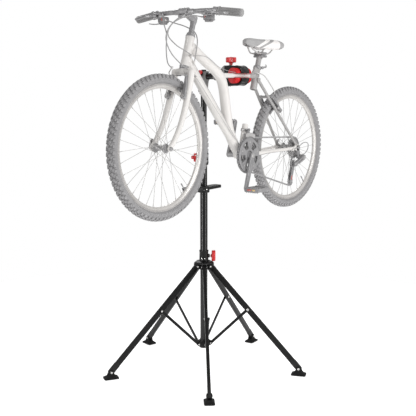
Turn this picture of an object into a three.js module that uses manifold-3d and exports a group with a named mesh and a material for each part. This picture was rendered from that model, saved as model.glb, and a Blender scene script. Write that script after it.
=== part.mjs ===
// A hardtail mountain bike held in a five-legged folding repair stand.
//
// Millimetres, +Z up. The bike faces -X and its drive side faces -Y. The stand's mast is behind
// the bike, on its +Y side, and the clamp arm reaches forward along -Y to a frame strut.
// Solids are built about the mast axis on the floor, and the whole group is then moved so that
// the middle of its bounding box's underside is the origin.

import * as THREE from 'three';
import Module from 'manifold-3d';

const wasm = await Module();
wasm.setup();
const { Manifold, CrossSection, Mesh: SolidMesh } = wasm;

// ---------------------------------------------------------------- driving dimensions, stand

const GAP = 0.3;                 // running clearance between neighbouring pieces
const LEG_COUNT = 5;
const FIRST_LEG_ANGLE = 221.35;  // degrees, leg_1, the one nearest the viewer
const CROWN_PIVOT = { r: 39, z: 563 };
const HUB_PIVOT = { r: 36, z: 133 };
const FOOT_PIVOT = { r: 522, z: 35 };
const BRACE_ALONG_LEG = 304;     // crown pivot to the brace's end, along the leg
const LEG_DEPTH = 30;
const LEG_THICKNESS = 17;
const LEG_WALL = 1.8;
const BRACE_WIDTH = 16;
const BRACE_THICKNESS = 8;
const BRACE_OFFSET = 13.5;       // the brace runs beside its leg

const LOWER_MAST = { outer: 20, inner: 18.4, bottom: 118, top: 985 };
const MIDDLE_MAST = { outer: 18, inner: 16.2, bottom: 300, top: 1138 };
const UPPER_MAST = { outer: 15.8, inner: 13.6, bottom: 760, top: 1502 };
const COLLAR = { bottom: 1108, top: 1170, outer: 24 };
const TRAY_Z = 970;
const ARM = { z: 1570, radius: 17, back: 84, front: -100, turnGap: 0.7 };

// ---------------------------------------------------------------- driving dimensions, bike

const BIKE_PLANE_Y = -235;       // the wheels' plane, in front of the mast
const FRONT_HUB = [-607, 1241];
const REAR_HUB = [450, 1186];
const BOTTOM_BRACKET = [5, 1172];
const HEAD_BOTTOM = [-438, 1608];
const HEAD_TOP = [-394.5, 1741];
const SEAT_TUBE_BOTTOM = [112, 1500];
const SEAT_TUBE_TOP = [149, 1617];
const STRUT_RADIUS = 11.5;
const TYRE_RADIUS = 333;
const TYRE_HALF_WIDTH = 24;
const RIM_RADIUS = 288;
const CRANK_LENGTH = 170;
const CRANK_ANGLE = 18;          // degrees from straight down, towards the front
const BAR_RADIUS = 11;
const BAR_HALF_LENGTH = 307;
const CHAIN_RING_RADIUS = 84;
const CHAIN_WIDTH = 8;
const GUIDE_PULLEY = [452, 1096];
const TENSION_PULLEY = [422, 1000];
const PULLEY_RADIUS = 17.5;

// ---------------------------------------------------------------- solid helpers

const ROUND = 12;

const point = (x, y, z) => new THREE.Vector3(x, y, z);

/** A point in the bike's plane, from its [x, z] pair, at a sideways offset. */
const inPlane = ([x, z], y = 0) => point(x, y, z);

function placed(solid, position, quaternion = new THREE.Quaternion()) {
  const matrix = new THREE.Matrix4().compose(position, quaternion, point(1, 1, 1));
  return solid.transform(matrix.elements);
}

/** A straight round bar between two points. */
function rod(start, end, radius, endRadius = radius, sides = ROUND) {
  const axis = end.clone().sub(start);
  const turn = new THREE.Quaternion().setFromUnitVectors(point(0, 0, 1), axis.clone().normalize());
  return placed(Manifold.cylinder(axis.length(), radius, endRadius, sides), start, turn);
}

/** A round disc or barrel whose axis is along Y. */
function drum([x, z], yFrom, yTo, radius, sides = ROUND) {
  return rod(point(x, yFrom, z), point(x, yTo, z), radius, radius, sides);
}

/** A box given by its low and high corners. */
function box(low, high) {
  const size = high.map((value, i) => value - low[i]);
  return Manifold.cube(size).translate(low);
}

const joined = (...solids) => Manifold.union(solids.flat());

const hullOf = (...solids) => Manifold.hull(solids.flat());

function circleOutline(radius, sides, stretch = 1) {
  return Array.from({ length: sides }, (_, i) => {
    const angle = (2 * Math.PI * i) / sides;
    return [radius * Math.cos(angle), stretch * radius * Math.sin(angle)];
  });
}

function rectangleOutline(width, height) {
  const [w, h] = [width / 2, height / 2];
  return [[-w, -h], [w, -h], [w, h], [-w, h]];
}

/** A closed solid swept along a path. outline(t) gives the section, anticlockwise, at t from 0 to 1. */
function sweep(path, outline, { closed = false, side = point(0, 1, 0) } = {}) {
  const count = path.length;
  const sections = path.map((_, i) => outline(i / (count - 1)));
  const sides = sections[0].length;
  const positions = [];
  path.forEach((p, i) => {
    const before = path[closed ? (i + count - 1) % count : Math.max(i - 1, 0)];
    const after = path[closed ? (i + 1) % count : Math.min(i + 1, count - 1)];
    const tangent = after.clone().sub(before).normalize();
    const u = side.clone().addScaledVector(tangent, -side.dot(tangent)).normalize();
    const v = tangent.clone().cross(u);
    for (const [a, b] of sections[i]) {
      const q = p.clone().addScaledVector(u, a).addScaledVector(v, b);
      positions.push(q.x, q.y, q.z);
    }
  });
  const triangles = [];
  const spans = closed ? count : count - 1;
  for (let i = 0; i < spans; i += 1) {
    for (let j = 0; j < sides; j += 1) {
      const a = i * sides + j;
      const b = i * sides + ((j + 1) % sides);
      const c = ((i + 1) % count) * sides + ((j + 1) % sides);
      const d = ((i + 1) % count) * sides + j;
      triangles.push(a, b, c, a, c, d);
    }
  }
  if (!closed) {
    const last = (count - 1) * sides;
    for (let j = 1; j < sides - 1; j += 1) {
      triangles.push(0, j + 1, j);
      triangles.push(last, last + j, last + j + 1);
    }
  }
  const mesh = new SolidMesh({
    numProp: 3,
    vertProperties: new Float32Array(positions),
    triVerts: new Uint32Array(triangles),
  });
  return new Manifold(mesh);
}

/** A smooth path through a few points. */
function smooth(points, steps) {
  return new THREE.CatmullRomCurve3(points).getSpacedPoints(steps);
}

/** A round tube along a smooth path, with a radius that changes evenly from start to end. */
function bentTube(points, radius, { end = radius, steps = 12, sides = 12, stretch = 1, side } = {}) {
  const outline = (t) => circleOutline(radius + (end - radius) * t, sides, stretch);
  return sweep(smooth(points, steps), outline, side ? { side } : {});
}

/** A ring about the Y axis, turned from an [r, y] outline. */
function turned(outline, segments) {
  const profile = new CrossSection([outline.map(([r, y]) => [r, -y])], 'EvenOdd');
  return Manifold.revolve(profile, segments).rotate([90, 0, 0]).rotate([0, 90, 0]);
}

function pipe({ outer, inner, bottom, top }, sides = 16) {
  const wall = Manifold.cylinder(top - bottom, outer, outer, sides);
  const bore = Manifold.cylinder(top - bottom + 2, inner, inner, sides).translate([0, 0, -1]);
  return wall.subtract(bore).translate([0, 0, bottom]);
}

function verticalDisc(radius, bottom, top, sides = 16) {
  return Manifold.cylinder(top - bottom, radius, radius, sides).translate([0, 0, bottom]);
}

/** A lobed hand knob on a stem, along +Z from its own origin. */
function lobedKnob({ lobes, radius, lobe, stem, start, thickness }) {
  const waist = CrossSection.circle(radius * 0.62, 12);
  const tips = Array.from({ length: lobes }, (_, i) => {
    const angle = (2 * Math.PI * i) / lobes;
    return CrossSection.circle(lobe, 10)
      .translate([(radius - lobe) * Math.cos(angle), (radius - lobe) * Math.sin(angle)]);
  });
  const grip = CrossSection.union([waist, ...tips]).extrude(thickness).translate([0, 0, start]);
  const shank = Manifold.cylinder(start + 2, stem, stem, 12);
  return joined(grip, shank);
}

// ---------------------------------------------------------------- meshes and bodies

const materials = {
  black: { color: 0x1c1c1c, roughness: 0.45, metalness: 0.1 },
  mastBlack: { color: 0x222222, roughness: 0.28, metalness: 0.3 },
  casting: { color: 0x6f6f6f, roughness: 0.5, metalness: 0.2 },
  red: { color: 0xd01c1c, roughness: 0.4, metalness: 0 },
  rubber: { color: 0x2c2c2c, roughness: 0.8, metalness: 0 },
  white: { color: 0xe4e1de, roughness: 0.35, metalness: 0 },
  tyre: { color: 0x949394, roughness: 0.85, metalness: 0 },
  rim: { color: 0xcfcbc8, roughness: 0.35, metalness: 0.6 },
  grey: { color: 0x8a898a, roughness: 0.5, metalness: 0.3 },
  greyRubber: { color: 0x979696, roughness: 0.8, metalness: 0 },
  saddle: { color: 0x9c9b9b, roughness: 0.6, metalness: 0 },
};

function part(name, solid, look, position = point(0, 0, 0)) {
  const { vertProperties, triVerts, numProp } = solid.getMesh();
  const coordinates = new Float32Array((vertProperties.length / numProp) * 3);
  for (let i = 0; i < coordinates.length / 3; i += 1) {
    coordinates.set(vertProperties.subarray(i * numProp, i * numProp + 3), i * 3);
  }
  const geometry = new THREE.BufferGeometry();
  geometry.setAttribute('position', new THREE.BufferAttribute(coordinates, 3));
  geometry.setIndex(new THREE.BufferAttribute(new Uint32Array(triVerts), 1));
  geometry.computeVertexNormals();
  const material = new THREE.MeshStandardMaterial({ ...materials[look], flatShading: true });
  const mesh = new THREE.Mesh(geometry, material);
  mesh.name = name;
  mesh.position.copy(position);
  return mesh;
}

function bodyGroup(name, parts) {
  const body = new THREE.Group();
  body.name = name;
  body.add(...parts);
  return body;
}

// ---------------------------------------------------------------- stand: mast

function lowerHub() {
  const sleeve = verticalDisc(26, 110, 156).subtract(verticalDisc(LOWER_MAST.outer + GAP, 117, 160));
  const ears = legAngles().map((angle) => {
    const ear = hullOf(
      box([18, 3.6, 121], [24, 9.2, 147]),
      drum([HUB_PIVOT.r, HUB_PIVOT.z], 3.6, 9.2, 9),
    );
    return ear.rotate([0, 0, angle]);
  });
  return joined(sleeve, ears).subtract(verticalDisc(LOWER_MAST.outer + GAP, 117, 160));
}

function mastCollar() {
  const { bottom, top, outer } = COLLAR;
  const shell = verticalDisc(outer, bottom, top);
  const lip = verticalDisc(outer - 2, top, top + 6);
  const boss = collarKnobPlace(Manifold.cylinder(12, 9, 9, 12).translate([0, 0, 18]));
  const lowerBore = verticalDisc(MIDDLE_MAST.outer + GAP, bottom - 1, MIDDLE_MAST.top + 1);
  const upperBore = verticalDisc(UPPER_MAST.outer + GAP, bottom, top + 10);
  return joined(shell, lip, boss).subtract(joined(lowerBore, upperBore));
}

const COLLAR_KNOB_ANGLE = 128;
const COLLAR_KNOB_Z = 1147;

/** From +Z at the origin to outwards from the collar. */
function collarKnobPlace(solid) {
  return solid.rotate([0, 90, 0]).rotate([0, 0, COLLAR_KNOB_ANGLE]).translate([0, 0, COLLAR_KNOB_Z]);
}

function collarKnob() {
  const knob = lobedKnob({ lobes: 4, radius: 25, lobe: 9, stem: 5, start: 8, thickness: 15 });
  const cap = Manifold.cylinder(14, 10, 8, 12).translate([0, 0, 20]);
  return collarKnobPlace(joined(knob, cap).translate([0, 0, 30.4]));
}

function toolTray() {
  const low = TRAY_Z;
  const high = TRAY_Z + 24;
  const hub = verticalDisc(30, low - 8, high);
  const bowl = hullOf(
    Manifold.cylinder(24, 40, 43, 16).scale([1.25, 0.95, 1]).translate([-98, 8, low]),
    Manifold.cylinder(24, 26, 26, 12).translate([-30, 4, low]),
  );
  const bowlRoom = hullOf(
    Manifold.cylinder(30, 35, 38, 16).scale([1.25, 0.93, 1]).translate([-98, 8, low + 3]),
    Manifold.cylinder(30, 20, 20, 12).translate([-44, 5, low + 3]),
  );
  const wing = hullOf(
    box([0, -26, low + 5], [20, 34, high - 3]),
    box([126, -18, low + 7], [136, 30, high - 3]),
  );
  const slots = [[34, -12], [34, 12], [78, -10], [78, 14]].map(([x, y]) =>
    box([x, y, low], [x + 36, y + 10, high + 5]));
  const driverHoles = [[44, 27], [66, 27], [88, 25], [110, 24]].map(([x, y]) =>
    Manifold.cylinder(60, 3, 3, 6).translate([x, y, low - 10]));
  const lug = box([-158, -6, low + 4], [-138, 14, low + 16]);
  const lowerBore = verticalDisc(LOWER_MAST.outer + GAP, low - 20, LOWER_MAST.top + 1);
  const upperBore = verticalDisc(MIDDLE_MAST.outer + GAP, low - 20, high + 20);
  const solid = joined(bowl.subtract(bowlRoom), wing.subtract(joined(slots, driverHoles)), hub, lug);
  return solid.subtract(joined(lowerBore, upperBore));
}

// ---------------------------------------------------------------- stand: folding base

function legAngles() {
  return Array.from({ length: LEG_COUNT }, (_, i) => FIRST_LEG_ANGLE + (360 * i) / LEG_COUNT);
}

const legRun = FOOT_PIVOT.r - CROWN_PIVOT.r;
const legDrop = CROWN_PIVOT.z - FOOT_PIVOT.z;
const legLength = Math.hypot(legRun, legDrop);
const legLean = Math.atan2(legRun, legDrop);
const braceTop = {
  r: CROWN_PIVOT.r + BRACE_ALONG_LEG * Math.sin(legLean),
  z: CROWN_PIVOT.z - BRACE_ALONG_LEG * Math.cos(legLean),
};

const CROWN_KNOB_ANGLE = -52;
const CROWN_KNOB_Z = 618;

function crownKnobPlace(solid) {
  return solid.rotate([0, 90, 0]).rotate([0, 0, CROWN_KNOB_ANGLE]).translate([0, 0, CROWN_KNOB_Z]);
}

function crown() {
  const sleeve = verticalDisc(23.5, 543, 648);
  const plate = verticalDisc(52, 580, 587);
  const ears = legAngles().flatMap((angle) => [[-13.6, -9], [9, 13.6]].map(([from, to]) =>
    hullOf(
      box([16, from, 548], [22, to, 584]),
      drum([CROWN_PIVOT.r, CROWN_PIVOT.z], from, to, 11),
      box([30, from, 580], [50, to, 584]),
    ).rotate([0, 0, angle])));
  const boss = crownKnobPlace(Manifold.cylinder(14, 9, 9, 12).translate([0, 0, 18]));
  const bore = verticalDisc(LOWER_MAST.outer + GAP, 500, 700);
  return joined(sleeve, plate, ears, boss).subtract(bore);
}

function crownKnob() {
  const wing = hullOf(
    Manifold.cylinder(14, 6, 6, 12).translate([-18, 0, 12]),
    Manifold.cylinder(14, 6, 6, 12).translate([18, 0, 12]),
  );
  const barrel = Manifold.cylinder(24, 9, 9, 12).translate([0, 0, 6]);
  const stem = Manifold.cylinder(8, 5, 5, 12);
  return crownKnobPlace(joined(wing, barrel, stem).translate([0, 0, 32.4]));
}

/** The leg hangs along -Z from its crown pivot at the origin, and leans out to its own +X side. */
function leg() {
  const half = LEG_THICKNESS / 2;
  const outside = hullOf(
    drum([0, 0], -half, half, LEG_DEPTH / 2),
    drum([0, -legLength], -half, half, LEG_DEPTH / 2),
  );
  const room = box(
    [-LEG_DEPTH / 2 + LEG_WALL, -half + LEG_WALL, -legLength - 40],
    [LEG_DEPTH / 2 - LEG_WALL, half - LEG_WALL, 40],
  );
  return outside.subtract(room).rotate([0, (-legLean * 180) / Math.PI, 0]);
}

/** The brace runs up from its hub pivot at the origin to the pin on its leg. */
function brace() {
  const from = BRACE_OFFSET - BRACE_THICKNESS / 2;
  const to = BRACE_OFFSET + BRACE_THICKNESS / 2;
  return hullOf(
    drum([0, 0], from, to, BRACE_WIDTH / 2, 12),
    drum([braceTop.r - HUB_PIVOT.r, braceTop.z - HUB_PIVOT.z], from, to, BRACE_WIDTH / 2, 12),
  );
}

const FOOT_SOLE = { x: 39, y: 27 };

/** A flared rectangular rubber foot with two ears about the leg's end, its pivot at the origin. */
function foot() {
  const floor = -FOOT_PIVOT.z;
  const pad = hullOf(
    box([-FOOT_SOLE.x, -FOOT_SOLE.y, floor], [FOOT_SOLE.x, FOOT_SOLE.y, floor + 7]),
    box([-25, -19, floor + 15], [25, 19, floor + 17]),
  );
  const ears = [[-14, -9], [9, 14]].map(([from, to]) => hullOf(
    drum([0, 0], from, to, 13, 12),
    box([-17, from, floor + 10], [17, to, floor + 14]),
  ));
  return joined(pad, ears);
}

function foldingBase() {
  return legAngles().map((angle, i) => {
    const side = new THREE.Group();
    side.name = `side_${i + 1}`;
    side.rotation.z = (angle * Math.PI) / 180;
    side.add(
      part(`leg_${i + 1}`, leg(), 'black', point(CROWN_PIVOT.r, 0, CROWN_PIVOT.z)),
      part(`brace_${i + 1}`, brace(), 'black', point(HUB_PIVOT.r, 0, HUB_PIVOT.z)),
      part(`foot_${i + 1}`, foot(), 'rubber', point(FOOT_PIVOT.r, 0, FOOT_PIVOT.z)),
    );
    return side;
  });
}

// ---------------------------------------------------------------- stand: head and clamp

function mastHead() {
  const socket = verticalDisc(22, 1476, 1545);
  const yoke = drum([0, ARM.z], -26, 26, 25, 16);
  const neck = hullOf(verticalDisc(22, 1520, 1532), box([-22, -22, 1550], [22, 22, 1572]));
  const boss = verticalDisc(13, 1585, 1603, 12);
  const lug = rod(point(-18, 0, 1580), point(-36, 0, 1580), 11, 11, 12);
  const pinch = box([-34, -8, 1486], [-18, 8, 1508]);
  const armBore = drum([0, ARM.z], -60, 60, ARM.radius + ARM.turnGap, 16);
  const mastBore = verticalDisc(UPPER_MAST.outer + GAP, 1400, UPPER_MAST.top + 1);
  return joined(socket, yoke, neck, boss, lug, pinch).subtract(joined(armBore, mastBore));
}

function headKnob() {
  const knob = lobedKnob({ lobes: 3, radius: 30, lobe: 12, stem: 5, start: 6, thickness: 14 });
  return knob.rotate([0, 0, 30]).rotate([0, -90, 0]).translate([-36.4, 0, 1580]);
}

const JAW_BACK = -150;
const PAD = { y: -232, radius: 26, halfLength: 65 };
const JAW = { radius: 33, halfLength: 31 };

function clampArm() {
  const tube = drum([0, ARM.z], ARM.front, ARM.back - 8, ARM.radius, 16);
  const cap = drum([0, ARM.z], ARM.back - 14, ARM.back, ARM.radius + 2, 16);
  const casting = hullOf(
    drum([0, ARM.z], -76, -82, 23, 16),
    box([-24, JAW_BACK, ARM.z - 52], [24, JAW_BACK + 12, ARM.z + 52]),
    box([-18, JAW_BACK + 22, ARM.z - 44], [18, JAW_BACK + 26, ARM.z + 44]),
  );
  return joined(tube, cap, casting);
}

/** A jaw below the strut; the upper one is its mirror image about the arm's axis. */
function jawBelow() {
  const face = ARM.z - STRUT_RADIUS - GAP;
  const shell = rod(
    point(-JAW.halfLength, PAD.y, face),
    point(JAW.halfLength, PAD.y, face),
    JAW.radius, JAW.radius, 24,
  );
  const arm = hullOf(
    box([-23, JAW_BACK - 14, ARM.z - 50], [23, JAW_BACK - GAP, ARM.z - 14]),
    box([-23, PAD.y, ARM.z - 44], [23, PAD.y + 8, ARM.z - 30]),
  );
  const above = box([-90, PAD.y - 80, face - 5], [90, JAW_BACK - 20, face + 80]);
  const room = rod(
    point(-90, PAD.y, face),
    point(90, PAD.y, face),
    PAD.radius + GAP, PAD.radius + GAP, 24,
  );
  return joined(shell, arm).subtract(joined(above, room));
}

function padBelow() {
  const face = ARM.z - STRUT_RADIUS - GAP;
  const bar = rod(
    point(-PAD.halfLength, PAD.y, face),
    point(PAD.halfLength, PAD.y, face),
    PAD.radius, PAD.radius, 24,
  );
  const above = box([-90, PAD.y - 80, face], [90, PAD.y + 80, face + 80]);
  return bar.subtract(above);
}

const aboveStrut = (solid) => solid.translate([0, 0, -ARM.z]).mirror([0, 0, 1]).translate([0, 0, ARM.z]);

const JAW_KNOB = { y: -176, z: 1616 };

function jawUpper() {
  const boss = Manifold.cylinder(12, 13, 11, 16).translate([0, JAW_KNOB.y, JAW_KNOB.z - 8]);
  return joined(aboveStrut(jawBelow()), boss);
}

function jawKnob() {
  const knob = lobedKnob({ lobes: 3, radius: 28, lobe: 11, stem: 7, start: 16, thickness: 20 });
  return knob.rotate([0, 0, 40]).translate([0, JAW_KNOB.y, JAW_KNOB.z + 4.3]);
}

// ---------------------------------------------------------------- bike: frame

const headAxis = inPlane(HEAD_TOP).sub(inPlane(HEAD_BOTTOM)).normalize();
const onHeadAxis = (distance) => inPlane(HEAD_BOTTOM).addScaledVector(headAxis, distance);
const seatAxis = inPlane(SEAT_TUBE_TOP).sub(inPlane(SEAT_TUBE_BOTTOM)).normalize();
const onSeatAxis = (distance) => inPlane(SEAT_TUBE_BOTTOM).addScaledVector(seatAxis, distance);
const HEAD_LENGTH = inPlane(HEAD_TOP).distanceTo(inPlane(HEAD_BOTTOM));
const SEAT_STAY = { top: [128, 1548], topY: 24, bottom: [438, 1199], bottomY: 62, radius: 8 };

const mirrored = (solid) => joined(solid, solid.mirror([0, 1, 0]));

function frame() {
  const headTube = rod(inPlane(HEAD_BOTTOM), inPlane(HEAD_TOP), 20);
  const mainTube = bentTube([
    point(-410, 0, 1704), point(-300, 0, 1643), point(-205, 0, 1590), point(-158, 0, 1548),
    point(-137, 0, 1490), point(-119, 0, 1400), point(-95, 0, 1303), point(-50, 0, 1225),
    inPlane(BOTTOM_BRACKET),
  ], 23, { end: 27, steps: 15, sides: 10 });
  const downTube = bentTube([
    point(-424, 0, 1638), point(-260, 0, 1457), inPlane(BOTTOM_BRACKET),
  ], 22, { steps: 3, sides: 10 });
  const strut = rod(point(-150, 0, ARM.z), point(138, 0, ARM.z), STRUT_RADIUS, STRUT_RADIUS, 12);
  const gusset = hullOf(
    rod(point(80, 0, ARM.z), point(134, 0, ARM.z), 10, 10, 12),
    rod(onSeatAxis(94), onSeatAxis(104), 12, 12, 12),
  );
  const seatTube = rod(inPlane(SEAT_TUBE_BOTTOM), inPlane(SEAT_TUBE_TOP), 17.5);
  const derailleurPost = rod(inPlane(BOTTOM_BRACKET), point(46, 0, 1326), 15);
  const shell = drum(BOTTOM_BRACKET, -33, 33, 21);
  const seatStays = mirrored(rod(
    inPlane(SEAT_STAY.top, SEAT_STAY.topY),
    inPlane(SEAT_STAY.bottom, SEAT_STAY.bottomY),
    SEAT_STAY.radius, SEAT_STAY.radius - 1, 8,
  ));
  const stayBridge = rod(point(204, -30, 1462), point(204, 30, 1462), 7, 7, 10);
  const chainStays = mirrored(bentTube([
    point(5, 20, 1172), point(72, 22, 1173), point(104, 30, 1174), point(150, 37, 1176),
    point(300, 50, 1181), point(428, 62, 1186),
  ], 9, { end: 8, steps: 7, sides: 6 }));
  const dropouts = mirrored(hullOf(
    drum(REAR_HUB, 60, 66, 19),
    drum([428, 1194], 60, 66, 14),
  ));
  const hanger = hullOf(drum(REAR_HUB, -66, -60, 15), drum([468, 1128], -66, -60, 9));
  const bosses = mirrored(joined(...brakeBosses(SEAT_BRAKE)));
  const solid = joined(
    headTube, mainTube, downTube, strut, gusset, seatTube, derailleurPost, shell,
    seatStays, stayBridge, chainStays, dropouts, hanger, bosses,
  );
  const bores = joined(
    rod(onHeadAxis(-30), onHeadAxis(HEAD_LENGTH + 20), 14),
    rod(onSeatAxis(-60), onSeatAxis(160), 14),
    drum(BOTTOM_BRACKET, -80, 80, 10.5),
    drum(REAR_HUB, -90, 90, 5.6, 12),
  );
  return solid.subtract(bores);
}

// ---------------------------------------------------------------- bike: brakes

/** Rim brake places: pivot on the stay or blade, the arm's direction and its boss's, in the plane. */
const FORK_BRAKE = { hub: FRONT_HUB, pivot: [-481, 1466], up: [0.32, 0.947], out: [-0.947, 0.32], y: 47 };
const SEAT_BRAKE = { hub: REAR_HUB, pivot: [279, 1377], up: [-0.664, 0.748], out: [0.748, 0.664], y: 42 };
const BOSS_LENGTH = 16;

const alongBrake = ({ pivot, up, out }, a, b) => [
  pivot[0] + up[0] * a + out[0] * b,
  pivot[1] + up[1] * a + out[1] * b,
];

function brakeBosses(brake) {
  const start = inPlane(brake.pivot, brake.y);
  return [rod(start, inPlane(alongBrake(brake, 0, BOSS_LENGTH), brake.y), 6, 6, 10)];
}

/** One V-brake arm with its shoe, on the +Y side; the other is its mirror image. */
function brakeArm(brake) {
  const at = (a, b, y) => inPlane(alongBrake(brake, a, b), y);
  const pivotDisc = rod(at(0, BOSS_LENGTH + 0.5, brake.y), at(0, 30, brake.y), 11, 11, 12);
  const middle = rod(at(45, 18, brake.y - 2), at(45, 28, brake.y - 2), 8, 8, 10);
  const tip = rod(at(96, 18, brake.y - 8), at(96, 28, brake.y - 8), 6, 6, 10);
  const shoeBolt = rod(at(24, 8, 20), at(24, 22, brake.y), 4, 4, 8);
  const shoeCentre = at(24, 4, 19);
  const radial = shoeCentre.clone().sub(inPlane(brake.hub, 19)).normalize();
  const along = radial.cross(point(0, 1, 0));
  const shoeStart = shoeCentre.clone().addScaledVector(along, -30);
  const shoeEnd = shoeCentre.clone().addScaledVector(along, 30);
  const shoe = rod(shoeStart, shoeEnd, 4.6, 4.6, 8);
  return joined(hullOf(pivotDisc, middle), hullOf(middle, tip), shoeBolt, shoe);
}

// ---------------------------------------------------------------- bike: fork and cockpit

function fork() {
  const steerer = rod(onHeadAxis(-20), onHeadAxis(HEAD_LENGTH - 0.5), 13);
  const crownRace = rod(onHeadAxis(-16), onHeadAxis(-1), 19.5);
  const crownCentre = onHeadAxis(-26);
  const crownBar = hullOf(
    rod(point(crownCentre.x, -50, crownCentre.z), point(crownCentre.x, 50, crownCentre.z), 14, 14, 12),
    rod(onHeadAxis(-34), onHeadAxis(-10), 18, 18, 12),
  );
  const blades = mirrored(bentTube([
    point(crownCentre.x, 49, crownCentre.z), point(-468, 51, 1505), point(-494, 52, 1425),
    point(-532, 53, 1340), point(-578, 54, 1272), inPlane(FRONT_HUB, 54),
  ], 15, { end: 9, steps: 7, sides: 8 }));
  const dropouts = mirrored(drum(FRONT_HUB, 50, 57, 13, 12));
  const bosses = mirrored(joined(...brakeBosses(FORK_BRAKE)));
  const solid = joined(steerer, crownRace, crownBar, blades, dropouts, bosses);
  const axleHole = drum(FRONT_HUB, -90, 90, 5.6, 12);
  const hubRoom = drum(FRONT_HUB, -49.5, 49.5, 30);
  return solid.subtract(joined(axleHole, hubRoom));
}

const BAR_CENTRE = point(-436, 0, 1851);
const QUILL_TOP = onHeadAxis(HEAD_LENGTH + 84);

function stem() {
  const nut = rod(onHeadAxis(HEAD_LENGTH + 0.4), onHeadAxis(HEAD_LENGTH + 15), 17, 15);
  const quill = rod(onHeadAxis(HEAD_LENGTH + 0.4), QUILL_TOP, 12.5);
  const extension = rod(QUILL_TOP, BAR_CENTRE, 15, 15);
  const crest = rod(onHeadAxis(HEAD_LENGTH + 66), onHeadAxis(HEAD_LENGTH + 98), 16);
  const clamp = drum([BAR_CENTRE.x, BAR_CENTRE.z], -24, 24, 19);
  const bore = drum([BAR_CENTRE.x, BAR_CENTRE.z], -30, 30, 13.2, 14);
  return joined(nut, quill, extension, crest, clamp).subtract(bore);
}

const BAR_KNEE = point(-431, 165, 1849);
const BAR_END = point(-413, BAR_HALF_LENGTH, 1832);
const alongBar = (y) => BAR_KNEE.clone().lerp(BAR_END, (y - BAR_KNEE.y) / (BAR_END.y - BAR_KNEE.y));

function handlebar() {
  const flip = (p) => point(p.x, -p.y, p.z);
  const half = [alongBar(BAR_HALF_LENGTH - 1), alongBar(200), BAR_KNEE, point(-436, 90, 1851)];
  const middle = [point(-436, 26, 1851), point(-436, -26, 1851)];
  const path = [...half, ...middle, ...half.slice().reverse().map(flip)];
  return sweep(path, () => circleOutline(BAR_RADIUS, 14), { side: point(1, 0, 0) });
}

function grip() {
  const outside = rod(alongBar(192), alongBar(BAR_HALF_LENGTH), 16.5, 17, 14);
  const flange = rod(alongBar(192), alongBar(197), 20, 20, 14);
  const bore = rod(alongBar(180), alongBar(BAR_HALF_LENGTH + 20), BAR_RADIUS + 0.5, BAR_RADIUS + 0.5, 14);
  const plug = rod(alongBar(BAR_HALF_LENGTH - 0.6), alongBar(BAR_HALF_LENGTH + 3), 16, 14, 14);
  return joined(joined(outside, flange).subtract(bore), plug);
}

const LEVER_PIVOT = point(-470, 152, 1838);

function leverMount() {
  const ring = rod(alongBar(166), alongBar(188), 17, 17, 14);
  const body = hullOf(
    rod(alongBar(168), alongBar(186), 15, 15, 10),
    rod(point(-452, 156, 1828), point(-452, 156, 1848), 12, 12, 10),
  );
  const ears = [[1828, 1832.2], [1843.8, 1848]].map(([from, to]) => hullOf(
    rod(point(LEVER_PIVOT.x, LEVER_PIVOT.y, from), point(LEVER_PIVOT.x, LEVER_PIVOT.y, to), 8, 8, 10),
    rod(point(-448, 152, from), point(-448, 152, to), 8, 8, 10),
  ));
  const nose = rod(point(-450, 150, 1838), point(-450, 118, 1838), 6, 5, 10);
  const bore = rod(alongBar(150), alongBar(200), BAR_RADIUS + 0.5, BAR_RADIUS + 0.5, 14);
  const innerBore = rod(point(-436, 90, 1851), BAR_KNEE, BAR_RADIUS + 0.8, BAR_RADIUS + 0.8, 14);
  const leverRoom = rod(
    point(LEVER_PIVOT.x, LEVER_PIVOT.y, 1832.2),
    point(LEVER_PIVOT.x, LEVER_PIVOT.y, 1843.8), 13, 13, 16);
  return joined(ring, body, ears, nose).subtract(joined(bore, innerBore, leverRoom));
}

function brakeLever() {
  const hub = rod(
    point(LEVER_PIVOT.x, LEVER_PIVOT.y, 1833),
    point(LEVER_PIVOT.x, LEVER_PIVOT.y, 1843), 8, 8, 12);
  const blade = bentTube([
    point(-471, 155, 1838), point(-482, 182, 1837), point(-478, 225, 1834), point(-470, 262, 1830),
  ], 5, { end: 6, steps: 5, sides: 6, side: point(0, 0, 1) });
  return joined(hub, blade);
}

/** Housings from both levers, tied by one clip in front of the head tube. */
function controlCables() {
  const housing = (points) => bentTube(points, 2.6, { steps: 12, sides: 5, side: point(1, 0.3, 0.2) });
  const rearRun = housing([
    point(-450, -116, 1838), point(-500, -70, 1836), point(-548, -28, 1795), point(-556, -4, 1745),
    point(-520, -20, 1700), point(-465, -30, 1675), point(-420, -29, 1655),
  ]);
  const frontRun = housing([
    point(-450, 116, 1838), point(-505, 72, 1838), point(-552, 24, 1795), point(-558, 2, 1745),
    point(-545, 16, 1680), point(-515, 34, 1622), point(-497, 24, 1598),
  ]);
  const clip = rod(point(-557, -9, 1741), point(-557, 8, 1749), 7, 7, 8);
  return joined(rearRun, frontRun, clip);
}

// ---------------------------------------------------------------- bike: wheels and drive

const WHEEL_SEGMENTS = 24;

function tyre() {
  const w = TYRE_HALF_WIDTH;
  const r = TYRE_RADIUS;
  const seat = RIM_RADIUS + GAP;
  const outside = [[r, 8], [r - 7, 18], [r - 22, w], [r - 36, w - 5], [seat, 11]];
  const inside = [[seat, 7], [r - 36, w - 10], [r - 22, w - 5], [r - 8, 9]];
  const half = [...outside, ...inside];
  return turned([...half.map(([a, b]) => [a, -b]), ...half.slice().reverse()], WHEEL_SEGMENTS);
}

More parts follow.
